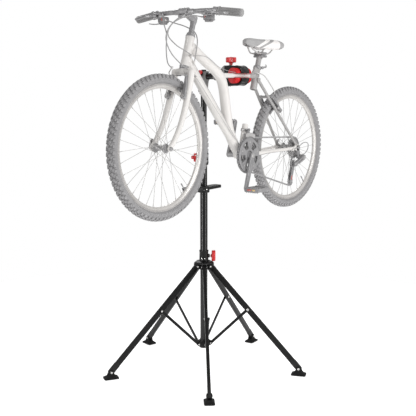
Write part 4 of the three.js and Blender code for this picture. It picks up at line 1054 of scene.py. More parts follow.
def frame_pieces():
    white, grey = Shape(), Shape()
    white.turn([(-1, 15), (-1, 21), (0, 22), (9, 22), (12, 20.4), (HEAD_LENGTH / 2, 20),
                (HEAD_LENGTH - 12, 20.4),
                (HEAD_LENGTH - 9, 22), (HEAD_LENGTH, 22), (HEAD_LENGTH + 0.6, 21), (HEAD_LENGTH + 0.6, 15)],
               on_head(0), HEAD_AXIS, 48)
    main = smooth_path([(-403, 0, 1704), (-300, 0, 1643), (-205, 0, 1590), (-158, 0, 1548), (-137, 0, 1490),
                        (-119, 0, 1400), (-95, 0, 1303), (-50, 0, 1225), (5, 0, 1172)], 56)
    white.sweep(main, lambda t: circle(22.5 + 4 * t, 36, stretch=1.06 - 0.08 * t), side=Y)
    down = smooth_path([(-420, 0, 1642), (-330, 0, 1537), (-200, 0, 1392), (-90, 0, 1274), (5, 0, 1172)], 36)
    white.sweep(down, lambda t: circle(21.5, 36, stretch=1.04), side=Y)
    white.rod((-150, 0, STRUT_Z), (112, 0, STRUT_Z), 11.5, sides=32)
    white.rod(flat(BOTTOM_BRACKET), (46, 0, 1326), 15, sides=32, edge=1.2)
    white.turn([(-33.2, 12), (-33.2, 20), (-32, 21.4), (32, 21.4), (33.2, 20), (33.2, 12)],
               flat(BOTTOM_BRACKET), Y, 40)
    for side in (-1, 1):
        stay = smooth_path([(5, 18 * side, 1172), (72, 22 * side, 1173), (104, 30 * side, 1174),
                            (150, 37 * side, 1176),
                            (300, 50 * side, 1181), (432, 62 * side, 1186)], 40)
        white.sweep(stay, lambda t: circle(9 - t, 20, stretch=1.18 - 0.18 * t), side=Y)
        white.slab(hull(circle(18, 24, REAR_HUB) + circle(12, 24, (424, 1187))),
                   *sorted((60 * side, 66 * side)), 1, 2)

    main_way = (Vector(main[6]) - Vector(main[0])).normalized()
    down_way = (down[5] - down[0]).normalized()
    white.weld(Vector(main[0]) + main_way * 60, -main_way, 22.8, on_head(0), HEAD_AXIS, 20.2, bead=1.8)
    white.weld(down[0] + down_way * 60, -down_way, 21.8, on_head(0), HEAD_AXIS, 20.2, bead=1.8)
    white.weld((-80, 0, STRUT_Z), -X, 11.5, (-166, 0, 1560), Vector((0.36, 0, -0.93)), 23.4, bead=1.5)
    post = (flat((46, 1326)) - flat(BOTTOM_BRACKET)).normalized()
    white.weld(flat(BOTTOM_BRACKET) + post * 80, -post, 15, flat(BOTTOM_BRACKET), Y, 21.4, bead=1.6)
    for x, y, z in ((-404, -31, 1625), (-420, -29, 1655), (-388, -30, 1560), (392, -72, 1176)):
        inner = 0.8 if x < 0 else 0.84
        white.block((x - 5, min(y, y * inner) - 3, z - 5), (x + 5, max(y, y * inner) + 3, z + 5), 2.5, 1,
                    "y")
    piece("frame_tubes", white, "bike", WHITE_PAINT, "frame", BIKE)

    length = (flat(SEAT_TUBE_TOP) - flat(SEAT_TUBE_BOTTOM)).length
    grey.ring([(0, 14.2), (0, 16.6), (0.8, 17.5), (length - 1, 17.5), (length, 16.8), (length, 14.2)],
              on_seat(0),
              SEAT_AXIS, 48)
    gusset = smooth_path([(70, 0, 1570), (100, 0, 1572), (122, 0, 1579), (141, 0, 1590)], 16)
    grey.sweep(gusset, lambda t: circle(12.2 + 2 * t, 32, stretch=1 + 1.35 * t * t), side=Y)
    for side in (-1, 1):
        grey.rod((128, 20 * side, 1550), (436, 62 * side, 1201), 8, 7, sides=24)
        grey.slab(hull(circle(8, 20, (428, 1208)) + circle(13, 20, (446, 1190))),
                  *sorted((58.6 * side, 64.8 * side)), 1, 2)
        grey.weld((180, 26 * side, 1490), Vector((-52, -6 * side, 60)), 8, on_seat(0), SEAT_AXIS, 17.5,
                  bead=1.3)
        grey.block((120, min(8 * side, 26 * side), 1540), (142, max(8 * side, 26 * side), 1560), 5, 2, "y")
    grey.rod((204, -31, 1462), (204, 31, 1462), 7, sides=24)
    for y in (-SEAT_BRAKE["y"], SEAT_BRAKE["y"]):
        grey.rod(at_brake(SEAT_BRAKE, 0, -4, y), at_brake(SEAT_BRAKE, 0, 16, y), 7, 6, sides=20)
    piece("frame_rear", grey, "bike", GREY_PAINT, (), BIKE)

    fittings = Shape()
    fittings.turn([(-15, 13), (-15, 19), (-13, 21), (-6, 21.5), (-3, 22.5), (0, 22.5), (0, 13)], on_head(0),
                  HEAD_AXIS, 40)
    top = HEAD_LENGTH
    fittings.turn([(top, 13), (top, 22.5), (top + 4, 22.5), (top + 6, 20.6), (top + 8, 20.6),
                   (top + 8, 13)], on_head(0),
                  HEAD_AXIS, 40)
    fittings.ring([(length - 12, 17.6), (length - 12, 20), (length - 10.5, 21), (length + 1, 21),
                   (length + 2.4, 20),
                   (length + 2.4, 14.2), (length + 0.4, 14.2), (length + 0.4, 17.6)], on_seat(0), SEAT_AXIS,
                   40)
    lug = on_seat(length - 5) + Vector((20, 0, 0))
    fittings.block(lug + Vector((-3, -9, -6)), lug + Vector((13, 9, 6)), 3, 1.2, "y")
    fittings.rod(lug + Vector((7, -17, 0)), lug + Vector((7, 17, 0)), 2.6)
    fittings.turn([(0, 0), (0, 6), (2, 7.5), (8, 7.5), (9, 6), (9, 0)], lug + Vector((7, -9, 0)), -Y, 20)
    lever = smooth_path([lug + Vector((7, -16, 0)), lug + Vector((22, -20, 3)), lug + Vector((40, -15, 8)),
                         lug + Vector((52, -4, 12))], 12)
    fittings.sweep(lever, lambda t: rounded(2.4, 4 + 2.5 * t, 1.5, 3), side=Y)
    for side in (-1, 1):
        fittings.turn([(33.2, 10.4), (33.2, 18), (36, 18), (37, 16.5), (37, 10.4)], flat(BOTTOM_BRACKET),
                      Y * side, 32)
    for x, z in ((-250, 1456), (-180, 1378)):
        fittings.hex_bolt((x - 14, 0, z - 14), Vector((-0.7, 0, -0.7)), 4.2, 3)
    piece("headset_and_clamps", fittings, "bike", GREY_METAL, (), BIKE)

    wires = Shape()
    wires.rod((-388, -28, 1558), (-10, -24, 1190), 1.0, sides=8)
    wires.rod((-404, -29, 1622), (-20, -27, 1200), 1.0, sides=8)
    wires.tube(smooth_path([(-10, -24, 1190), (60, -30, 1160), (200, -52, 1172), (392, -72, 1176)], 24),
               1.0, sides=8)
    wires.tube(smooth_path([(-420, -24, 1657), (-300, -24, 1652), (-200, -27, 1604), (-60, -19, 1584),
                            (60, -19, 1584),
                            (110, -21, 1584)], 30), 1.1, sides=8)
    piece("frame_cables", wires, "bike", CABLE, (), BIKE)


ARM_TIP = (94, 32)                  # where a brake arm holds its wire
FORK_BRAKE = dict(hub=FRONT_HUB, pivot=(-481, 1466), up=(0.32, 0.947), out=(-0.947, 0.32), y=47)
SEAT_BRAKE = dict(hub=REAR_HUB, pivot=(279, 1377), up=(-0.664, 0.748), out=(0.748, 0.664), y=42)


def at_brake(brake, a, b, y):
    return Vector((brake["pivot"][0] + brake["up"][0] * a + brake["out"][0] * b, y,
                   brake["pivot"][1] + brake["up"][1] * a + brake["out"][1] * b))


def brake_arm(brake):
    """A direct-pull brake arm on the +Y side, with its shoe, bolts and spring."""
    shape = Shape()
    y = brake["y"]

    def at(a, b, side=y):
        return at_brake(brake, a, b, side)

    out = Vector((brake["out"][0], 0, brake["out"][1]))
    up = Vector((brake["up"][0], 0, brake["up"][1]))
    shape.turn([(0, 6.2), (0, 12.6), (1.2, 14.2), (12, 14.2), (13.5, 12.4), (13.5, 6.2)], at(0, 16.6), out,
               32)
    shape.hex_bolt(at(0, 30), out, 7.4, 2.4, look=1)
    path = smooth_path([at(-4, 23), at(20, 23.5, y + 1), at(45, 23, y), at(72, 23, y - 4),
                        at(98, 23, y - 8)], 20)
    shape.sweep(path, lambda t: rounded(6 - 1.8 * t, 11.4 - 5.6 * t, 3.4 - t, 4), side=out)
    shape.hex_bolt(at(94, 27, y - 8), out, 4.6, 3, look=1)
    shape.rod(at(96, 15, y - 8), at(96, 30, y - 8), 5.4)
    shape.rod(at(24, 12, 17), at(24, 14, y + 6), 3.2, look=1)
    shape.turn([(0, 0), (0, 7), (3, 7.4), (5, 6), (5, 0)], at(24, 14, y + 6), Y, 20, look=1)
    shape.turn([(0, 3), (0, 7.6), (2, 8.4), (5, 7), (5, 3)], at(24, 13, 25), Y, 20, look=1)
    centre = at(24, 4, 19)
    radial = (centre - flat(brake["hub"], 19)).normalized()
    along = radial.cross(Y)
    shoe = smooth_path([centre - along * 33 + radial * -1.6, centre, centre + along * 33 + radial * -1.6],
                       10)
    shape.sweep(shoe, lambda t: rounded(4.4, 5.4 - 1.2 * abs(2 * t - 1) ** 3, 2, 3), side=Y, look=2)
    spring = [at(-8 + 18 * k / 40 + 2 * math.cos(k * 0.9), 16 + k * 0.12,
                 y + 9 + 2 * math.sin(k * 0.9)) for k in range(41)]
    shape.tube(spring, 0.9, sides=6, look=1)
    return shape


def brakes():
    for brake, bodies, axle in ((FORK_BRAKE, "front_arm", "steering"), (SEAT_BRAKE, "rear_arm", "bike")):
        shape = brake_arm(brake)
        for side, sign in (("left", -1), ("right", 1)):
            cad = bodies.replace("arm", "brake_arm") + "_" + side
            piece(cad + "_detailed", shape if sign > 0 else shape.flipped(), f"{bodies}_{side}",
                  [GREY_METAL, PALE_METAL, GREY_PLASTIC], cad, BIKE)
        tip = at_brake(brake, *ARM_TIP, brake["y"] - 8)
        far = Vector((tip.x, -tip.y, tip.z))
        pull = Shape()
        pull.rod(tip, far, 0.8, sides=8)
        boot = [(0, 2.2), (2, 3.4)] + [(4 + 4 * k, 3.6 if k % 2 else 2.6) for k in range(7)] + [(32, 2)]
        pull.turn(boot, tip.lerp(far, 0.32), (far - tip), 16, look=1)
        piece(bodies.split("_")[0] + "_brake_wire", pull, axle, [CABLE, GREY_PLASTIC], (), BIKE)
    tip = at_brake(FORK_BRAKE, *ARM_TIP, FORK_BRAKE["y"] - 8)
    noodle = Shape().tube(smooth_path([(-497, 24, 1600), (-490, 40, 1590), (-486, 52, 1578),
                                       tip + Vector((0, 12, 3)),
                                       tip], 20), 2.6, sides=12)
    noodle.turn([(-4, 2.6), (-4, 4.2), (6, 4.2), (7, 2.6)], (-497, 24, 1600), Vector((0.3, -0.2, 1)), 14)
    piece("front_noodle", noodle, "steering", PALE_METAL, (), BIKE)
    tip = at_brake(SEAT_BRAKE, *ARM_TIP, SEAT_BRAKE["y"] - 8)
    noodle = Shape().tube(smooth_path([(112, -21, 1584), (150, -40, 1572), (200, -52, 1520),
                                       tip + Vector((-6, -84, 16)),
                                       tip + Vector((0, -68, 0))], 28), 2.5, sides=12)
    piece("rear_noodle", noodle, "bike", PALE_METAL, (), BIKE)


BAR_CENTRE = Vector((-436, 0, 1851))


def fork_and_stem():
    white = Shape()
    crown = on_head(-26)
    white.rod(on_head(-40), on_head(-15.5), 19, 19.4, sides=36, edge=2)
    path = smooth_path([(crown.x, -47, crown.z - 4), (crown.x, -28, crown.z + 1), (crown.x, 0, crown.z + 1),
                        (crown.x, 28, crown.z + 1), (crown.x, 47, crown.z - 4)], 16)
    white.tube(path, 15.5, sides=28, side=X, dome=0.6)
    for side in (-1, 1):
        blade = smooth_path([(crown.x, 48 * side, crown.z + 2), (-456, 50 * side, 1545),
                             (-468, 51 * side, 1505),
                             (-494, 52 * side, 1425), (-532, 53 * side, 1340), (-578, 54 * side, 1272),
                             (-605, 54 * side, 1244)], 36)
        white.tube(blade, 16, 11.5, sides=28, side=Y, dome=0.7)
        white.slab(hull(circle(12.5, 24, FRONT_HUB) + circle(8, 20, (-597, 1252))),
                   *sorted((50.2 * side, 56.6 * side)), 1.2, 2)
        white.rod(at_brake(FORK_BRAKE, 0, -4, 47 * side), at_brake(FORK_BRAKE, 0, 16, 47 * side), 7, 6,
                  sides=20)
    piece("fork_blades", white, "steering", WHITE_PAINT, "fork", BIKE)

    stem = Shape()
    top = HEAD_LENGTH
    stem.turn([(top + 8.2, 12), (top + 8.2, 19), (top + 11, 19.6), (top + 18, 18.4), (top + 20, 16.5),
               (top + 20, 12)],
              on_head(0), HEAD_AXIS, 8)
    stem.turn([(top - 10, 12.4), (top + 60, 12.6), (top + 70, 15), (top + 92, 16.2), (top + 98, 15),
               (top + 99, 9),
               (top + 96, 8.4), (top + 96, 0)], on_head(0), HEAD_AXIS, 40)
    quill = on_head(top + 80)
    bar = BAR_CENTRE
    stem.tube([quill, quill.lerp(bar, 0.45), bar], 15.5, 14.5, sides=32, side=Y)
    stem.turn([(-25, 11.6), (-25, 17), (-23.5, 19), (23.5, 19), (25, 17), (25, 11.6)], bar, Y, 40)
    stem.block((-458, -20, 1826), (-440, 20, 1838), 3, 1.5, "y")
    for y in (-11, 11):
        stem.hex_bolt((-449, y, 1826.4), -Z, 4.4, 3.5, look=1)
    stem.hex_bolt(on_head(top + 96), HEAD_AXIS, 6.4, 4, look=1)
    piece("quill_stem", stem, "steering", METALS, "stem", BIKE)


LEVER_PIVOT = (-470, 152)
BAR_KNEE, BAR_END = Vector((-431, 165, 1849)), Vector((-413, 307, 1832))


def along_bar(y):
    return BAR_KNEE.lerp(BAR_END, (y - BAR_KNEE.y) / (BAR_END.y - BAR_KNEE.y))


def cockpit():
    bar = Shape()
    half = [along_bar(304), along_bar(250), along_bar(200), BAR_KNEE, Vector((-434, 128, 1850.4)),
            Vector((-436, 90, 1851)), Vector((-436, 40, 1851)), BAR_CENTRE]
    flip = [Vector((p.x, -p.y, p.z)) for p in half[:-1]]
    bar.tube(smooth_path(half + flip[::-1], 90), 11, sides=28, side=X)
    for side in (-1, 1):
        bar.turn([(26, 11.1), (28, 12.7), (52, 12.7), (60, 11.1)], BAR_CENTRE, Y * side, 32)
    piece("bar_tube", bar, "steering", GREY_METAL, "handlebar", BIKE)

    way = (BAR_END - BAR_KNEE).normalized()
    for side, name in ((-1, "left"), (1, "right")):
        grip = Shape()
        start = along_bar(192)
        length = (BAR_END - start).length
        profile = [(0, 11.5), (0, 19), (1, 20.2), (4, 20.2), (5.4, 18.6), (6, 16)]
        ribs = 17
        for k in range(ribs):
            d = 8 + k * (length - 18) / ribs
            profile += [(d, 15.6), (d + 0.8, 16.9), (d + 3.6, 16.9), (d + 4.4, 15.6)]
        profile += [(length - 8, 16.2), (length - 7, 17.2), (length - 1, 17.2), (length, 16.4),
                    (length + 0.4, 14.5),
                    (length + 2.2, 14), (length + 3, 12.5), (length + 3, 0)]
        grip.turn(profile, start, way, 40)
        for k in range(10):
            angle = TAU * k / 10
            u = (Z - way * Z.dot(way)).normalized()
            v = way.cross(u)
            spoke = u * math.cos(angle) + v * math.sin(angle)
            grip.rod(start + way * 9 + spoke * 16.2, start + way * (length - 9) + spoke * 16.2, 1.5,
                     sides=8, edge=0.5)
        grip = grip if side > 0 else grip.flipped()
        piece(f"grip_{name}_ribbed", grip, "steering", GRIP, "grip_" + name, BIKE)

        mount = Shape()
        ring_start = along_bar(165)
        mount.turn([(0, 11.6), (0, 16.4), (1.2, 17.6), (22, 17.6), (23.4, 16.4), (23.4, 11.6)], ring_start,
                   way, 32)
        mount.hex_bolt(ring_start + way * 12 + Vector((4, 0, -17.5)), -Z, 3.6, 3, look=1)
        cheek = hull(circle(9.5, 24, LEVER_PIVOT) + circle(13, 24, (-446, 160)) + circle(8, 20, (-447, 136)))
        for low, high in ((1844.4, 1849), (1827, 1831.6)):
            mount.slab(cheek, low, high, 1.6, 2, level)
        mount.block((-456, 132, 1829), (-434, 172, 1847), 6, 2, "y")
        mount.turn([(0, 7.5), (26, 6.2), (27, 5), (27, 0)], (-451, 140, 1838), -Y, 24)
        mount.turn([(6, 7), (7, 7.8), (12, 7.8), (13, 7)], (-451, 140, 1838), -Y, 12, look=1)
        mount.hex_bolt((*LEVER_PIVOT, 1849), Z, 5, 2, look=1)
        mount.hex_bolt((*LEVER_PIVOT, 1827), -Z, 5, 2, look=1)
        mount.block((-446, 112, 1808), (-408, 158, 1836), 10, 5, "z", look=2, steps=5)
        mount.turn([(0, 0), (0, 17), (2, 19), (7, 19), (9, 16), (9, 0)], (-427, 135, 1801), Z, 36, look=2)
        trigger = smooth_path([(-432, 150, 1806), (-446, 164, 1803), (-458, 178, 1803), (-462, 190, 1805)],
                              12)
        mount.sweep(trigger, lambda t: rounded(2.2, 5 + 2 * t, 1.6, 3), side=Z, look=2)
        mount.block((-449, 126, 1818), (-445, 130, 1832), 1, 0.5, "z", look=3)
        mount = mount if side > 0 else mount.flipped()
        piece(f"lever_mount_{name}_detailed", mount, "steering",
              [GREY_METAL, PALE_METAL, GREY_PLASTIC, REFLECTOR_RED], "lever_mount_" + name, BIKE)

        lever = Shape()
        lever.turn([(0, 0), (0, 7), (1, 8), (9, 8), (10, 7), (10, 0)], (*LEVER_PIVOT, 1833), Z, 24)
        blade = smooth_path([(-470, 150, 1838), (-482, 172, 1838), (-486, 198, 1836.5), (-480, 228, 1834),
                             (-472, 252, 1831.5), (-470, 266, 1830)], 28)
        lever.sweep(blade, lambda t: rounded(6.2 - 1.2 * math.sin(math.pi * t), 4.4 + 1.6 * t, 3, 4), side=Z)
        lever.ball((-470, 268, 1830), 7, 20, squash=0.95, axis=(0, 1, 0))
        lever = lever if side > 0 else lever.flipped()
        piece(f"brake_lever_{name}_blade", lever, "lever_" + name, [GREY_METAL],
              "brake_lever_" + name, BIKE)


frame_pieces()
brakes()
fork_and_stem()
cockpit()

# ------------------------------------------------------------------ stand


def outwards(angle, z, distance=0.0):
    """From +Z at the origin to straight out from the mast at an angle."""
    return (Matrix.Translation((0, 0, z)) @ Matrix.Rotation(math.radians(angle), 4, "Z")
            @ Matrix.Rotation(math.radians(90), 4, "Y") @ Matrix.Translation((0, 0, distance)))


def bearing(angle):
    """The level direction at an angle round the mast."""
    return Vector((math.cos(math.radians(angle)), math.sin(math.radians(angle)), 0))


def masts():
    for name, body, outer, inner, bottom, top in (
        ("lower_mast", "mast", 20, 18.4, 118, 985),
        ("middle_mast", "mast", 18, 16.2, 300, 1138),
        ("upper_mast", "upper", 15.8, 13.6, 760, 1502),
    ):
        tube = Shape().ring([(bottom, inner), (bottom, outer - 0.6), (bottom + 0.6, outer),
                             (top - 0.6, outer),
                             (top, outer - 0.6), (top, inner)], ORIGIN, Z, 72)
        piece(name + "_tube", tube, body, MAST_BLACK, name)


def lower_hub():
    hub = Shape()
    hub.ring([(110, 14), (110, 24), (112, 26), (120, 26.4), (146, 26.4), (150, 25), (156, 23.6),
              (156.6, 22.6),
              (156.6, MAST_BORE), (118, MAST_BORE), (118, 14)], ORIGIN, Z, 56)
    pins = Shape()
    for angle in LEG_ANGLES:
        turn = Matrix.Rotation(math.radians(angle), 4, "Z")
        ear = Shape().slab(hull([(18, 118), (18, 150), (25, 151), (25, 117)] + circle(9.5, 24, HUB_PIVOT)),
                           3.4, 9.3, 1.4, 3)
        ear.slab(hull([(16, 119), (16, 149), (24, 149), (24, 119)] + circle(9.5, 24, HUB_PIVOT)), 17.9,
                 21.6, 1.2, 2)
        ear.block((18, 4, 120), (27, 21, 148), 3, 1.5)
        hub.add(ear, turn)
        pin = Shape()
        for at, way in (((HUB_PIVOT[0], 3.4, HUB_PIVOT[1]), -Y), ((HUB_PIVOT[0], 21.6, HUB_PIVOT[1]), Y)):
            pin.turn([(-1, 0), (-1, 4.6), (0.8, 4.6), (2.0, 3.6), (2.6, 1.6), (2.8, 0)], at, way, 18)
        pins.add(pin, turn)
    hub.add(pins_as(pins, 1))
    piece("lower_hub_casting", hub, "mast", [BLACK_PAINT, STEEL], "lower_hub")


def pins_as(shape, look):
    shape.looks = [look] * len(shape.looks)
    return shape


def collar_and_knob():
    collar = Shape()
    collar.ring([(1108, 18.3), (1108, 22.6), (1109.4, 24), (1116, 24.4), (1118, 25.2), (1124, 25.2),
                 (1126, 24.4),
                 (1158, 24.2), (1162, 25.4), (1168, 25.4), (1170.4, 24), (1174, 22.6), (1176, 21.4),
                 (1176, 16.1),
                 (1140, 16.1), (1140, 18.3)], ORIGIN, Z, 64)
    boss = Shape().turn([(16, 0), (16, 11), (25, 10.4), (28.6, 9.6), (30, 8.6), (30, 0)], ORIGIN, Z, 32)
    boss.hex_bolt((0, -15, 22), Z, 3.2, 2.5, look=1)
    collar.add(boss, outwards(*COLLAR_KNOB))
    for angle in (205, 250):
        out = bearing(angle)
        collar.hex_bolt(out * 24.2 + Z * 1142, out, 3.2, 1.6, look=1)
    piece("mast_collar_casting", collar, "mast", [BLACK_PLASTIC, STEEL], "mast_collar")

    knob = hand_knob(4, 28, 16, 6, 23, 5, turn=math.radians(45))
    knob.turn([(22, 0), (22, 10.4), (30, 9.8), (34, 8.6), (36, 6), (36.4, 0)], ORIGIN, Z, 32)
    piece("mast_collar_knob_grip", Shape().add(knob, outwards(*COLLAR_KNOB, 30.4)), "collar_knob",
          [RED_PLASTIC, STEEL], "mast_collar_knob")


def hand_knob(lobes, radius, waist, low, high, stem, turn=0.0, ease=4.0):
    """A moulded knob with round lobes, a raised hub and a threaded stem, along +Z."""
    knob = Shape().slab(lobed(lobes, radius, waist, 96, turn), low, high, ease, 5, level)
    knob.turn([(low - 3, 0), (low - 3, stem + 4.5), (low - 2, stem + 5.5), (low + 3, stem + 7),
               (low + 3, 0)],
              ORIGIN, Z, 32)
    knob.ring([(high - 1.5, waist * 0.42), (high - 1.5, waist * 0.62), (high + 0.9, waist * 0.6),
               (high + 1.2, waist * 0.56), (high + 0.9, waist * 0.46)], ORIGIN, Z, 32)
    profile = [(0, 0), (0, stem - 0.4)]
    for k in range(int((low - 2) / 1.6)):
        profile += [(0.4 + 1.6 * k, stem - 0.5), (1.2 + 1.6 * k, stem + 0.1)]
    knob.turn(profile + [(low - 1, stem), (low, 0)], ORIGIN, Z, 24, look=1)
    return knob


def tool_tray():
    tray = Shape()
    outline = hull([(-98 + 1.25 * x, 8 + 0.95 * y) for x, y in circle(41, 64)] + circle(26, 48, (-30, 4)))
    rings = []
    for inner, z in ((9, 970), (5, 970.6), (2.2, 973), (0.8, 980), (0, 987), (-1.8, 989), (-2.4, 991.5),
                     (-1.8, 993.6),
                     (-0.4, 994.4), (1.6, 994.2), (2.8, 993), (3.4, 988), (4.4, 980), (6.5, 975),
                     (10, 973.2), (14, 973)):
        rings.append([(a, b, z) for a, b in inset(outline, inner)])
    tray.loft(rings)
    tray.ring([(961, MAST_BORE), (961, 28), (963, 30), (970, 30.4), (990, 30), (994.6, 28.4), (996, 26),
               (996, MAST_BORE)],
              ORIGIN, Z, 64)
    tray.slab(hull(circle(7, 20, (-150, -2)) + circle(7, 20, (-150, 10)) + circle(7, 16, (-136, -4))
                   + circle(7, 16, (-136, 12))), 974, 986, 2, 3, level)
    for angle in (200, 218, 250):
        out = bearing(angle)
        tray.hex_bolt(out * 30 + Z * (980 if angle != 218 else 976), out, 3.4, 1.4, look=1)
    tray.hex_bolt((-150, 4, 986), Z, 4, 1.6, look=1)
    piece("tool_tray_bowl", tray, "mast", [BLACK_PLASTIC, STEEL], "tool_tray")

    wing = Shape().slab(hull(circle(7, 20, (14, -20)) + circle(7, 20, (14, 28)) + circle(12, 24, (124, -6))
                             + circle(12, 24, (124, 20))), 975, 991, 2.2, 3, level)
    cuts = Shape()
    for x, y in ((34, -12), (34, 12), (78, -10), (78, 14)):
        cuts.slab([(x + 18 + a, y + 5 + b) for a, b in rounded(18, 5, 4.5, 4)], 960, 1000, 0.5, 1, level)
    for x, y in ((44, 28), (66, 27), (88, 26), (110, 24), (44, -20), (66, -19), (88, -18), (110, -15)):
        cuts.rod((x, y, 960), (x, y, 1000), 2.6, sides=20)
    cuts.rod((0, 0, 950), (0, 0, 1010), 24, sides=48)
    piece("tool_tray_rack", wing, "mast", BLACK_PLASTIC, (), cut=cuts, soften=0.6)


def crown_and_knob():
    crown = Shape()
    crown.ring([(543, MAST_BORE), (543, 22.4), (544, 23.5), (578, 23.8), (590, 26), (596, 24.4),
                (640, 23.8), (643, 25.2),
                (647, 25.2), (649, 24), (649, MAST_BORE)], ORIGIN, Z, 64)
    lid = hull([p for angle in LEG_ANGLES
                for p in circle(19, 20, (36 * math.cos(math.radians(angle)),
                                         36 * math.sin(math.radians(angle))))])
    rings = []
    for inner, z in ((1.4, 577.6), (0, 578.6), (0, 582), (1.2, 584.6), (4, 587), (9, 588.6), (22, 591),
                     (27, 594)):
        rings.append([(a, b, z) for a, b in inset(lid, inner)])
    crown.loft(rings)
    pins = Shape()
    for angle in LEG_ANGLES:
        turn = Matrix.Rotation(math.radians(angle), 4, "Z")
        cheeks = Shape()
        for low, high in ((-13.8, -8.9), (8.9, 13.8)):
            cheeks.slab(hull([(15, 546), (15, 580), (50, 580), (53, 574)] + circle(13.5, 28, CROWN_PIVOT)),
                        low, high,
                        1.3, 3)
        crown.add(cheeks, turn)
        pin = Shape()
        for sign in (-1, 1):
            pin.turn([(-1, 0), (-1, 5.4), (1.0, 5.4), (2.2, 4.4), (2.8, 2), (3, 0)],
                     (CROWN_PIVOT[0], 13.8 * sign,
                     CROWN_PIVOT[1]), Y * sign, 20)
        pins.add(pin, turn)
    crown.add(pins_as(pins, 1))
    boss = Shape().turn([(16, 0), (16, 12), (24, 11), (30, 9.6), (32, 8.6), (32, 0)], ORIGIN, Z, 32)
    crown.add(boss, outwards(*CROWN_KNOB))
    for angle in (190, 232):
        out = bearing(angle)
        crown.hex_bolt(out * 23.8 + Z * 606, out, 3.4, 1.6, look=1)
    piece("crown_casting", crown, "crown", [BLACK_PAINT, STEEL], "crown")

    knob = Shape().slab(lobed(2, 30, 15, 72), 9, 30, 6, 5, level)
    knob.turn([(5, 0), (5, 8.4), (6, 9.6), (24, 10), (29, 9), (30, 7), (30.2, 0)], ORIGIN, Z, 32)
    knob.turn([(0, 0), (0, 4.8), (6, 5), (6, 0)], ORIGIN, Z, 24, look=1)
    piece("crown_knob_wing", Shape().add(knob, outwards(*CROWN_KNOB, 32.4)), "crown_knob",
          [RED_PLASTIC, STEEL], "crown_knob")


def folding_base():
    lean = math.atan2(LEG_RUN, LEG_DROP)
    brace_top = (CROWN_PIVOT[0] + 304 * math.sin(lean), CROWN_PIVOT[1] - 304 * math.cos(lean))
    down = Vector((math.sin(lean), 0, -math.cos(lean)))
    for i, angle in enumerate(LEG_ANGLES, 1):
        turn = Matrix.Rotation(math.radians(angle), 4, "Z")
        leg = Shape().slab(capsule(CROWN_PIVOT, 15, FOOT_PIVOT, 15, 48), -8.5, 8.5, 4, 5)
        foot_end = flat(FOOT_PIVOT)
        leg.slab(capsule((foot_end - down * 46).xz, 15.9, FOOT_PIVOT, 15.9, 48), -8.8, 8.8, 3, 3, look=1)
        pivot = flat(brace_top)
        leg.rod(pivot - Y * 11.6, pivot + Y * 9.3, 4.2, look=2)
        leg.turn([(0, 0), (0, 7.4), (1.6, 7.4), (2, 6.6), (2, 0)], pivot - Y * 8.4, -Y, 6, look=2)
        piece(f"leg_{i}_tube", Shape().add(leg, turn), f"leg_{i}",
              [BLACK_PAINT, BLACK_PLASTIC, STEEL],
              f"leg_{i}")

        brace = Shape().slab(capsule(HUB_PIVOT, 8, brace_top, 8, 36), 9.6, 17.5, 2.6, 4)
        for at in (HUB_PIVOT, brace_top):
            brace.turn([(-0.5, 0), (-0.5, 5), (0.4, 5.2), (0.4, 0)], flat(at, 17.5), Y, 24, look=1)
        brace.turn([(0, 0), (0, 4.8), (1.4, 4.2), (2.4, 2), (2.6, 0)], flat(brace_top, 17.4), Y, 20, look=1)
        piece(f"brace_{i}_bar", Shape().add(brace, turn), f"brace_{i}", [BLACK_PAINT, STEEL],
              f"brace_{i}")

        foot = Shape()
        x = FOOT_PIVOT[0]
        foot.loft([[(x + a, b, z) for a, b in rounded(half_x, half_y, corner, 5)] for z, half_x, half_y,
                   corner in (
            (0, 37.6, 25.6, 7), (0.8, 38.8, 26.8, 8), (2.8, 38.8, 26.8, 8), (3.4, 38, 26, 8),
            (4, 38.8, 26.8, 8),
            (6.6, 38.6, 26.6, 8), (8, 37, 25.4, 8), (10, 32.6, 23, 8), (12.6, 27.4, 20, 8),
            (15.4, 23.6, 17.2, 8),
            (18.4, 21.4, 15.4, 7), (20, 20.4, 14.6, 7))])
        for low, high in ((-14, -9), (9, 14)):
            foot.slab(hull(circle(13, 28, FOOT_PIVOT) + [(x - 19, 13), (x + 19, 13), (x - 19, 15.5),
                                                         (x + 19, 15.5)]),
                      low, high, 1.6, 3)
        foot.rod((x, -15, FOOT_PIVOT[1]), (x, 15, FOOT_PIVOT[1]), 4, look=1)
        foot.hex_bolt((x, 14, FOOT_PIVOT[1]), Y, 6, 3, look=1)
        foot.turn([(0, 0), (0, 6.6), (3, 6.6), (3.6, 5.8), (3.6, 0)], (x, -14, FOOT_PIVOT[1]), -Y, 6, look=1)
        piece(f"foot_{i}_rubber", Shape().add(foot, turn), f"foot_{i}", [FOOT_RUBBER, STEEL],
              f"foot_{i}")


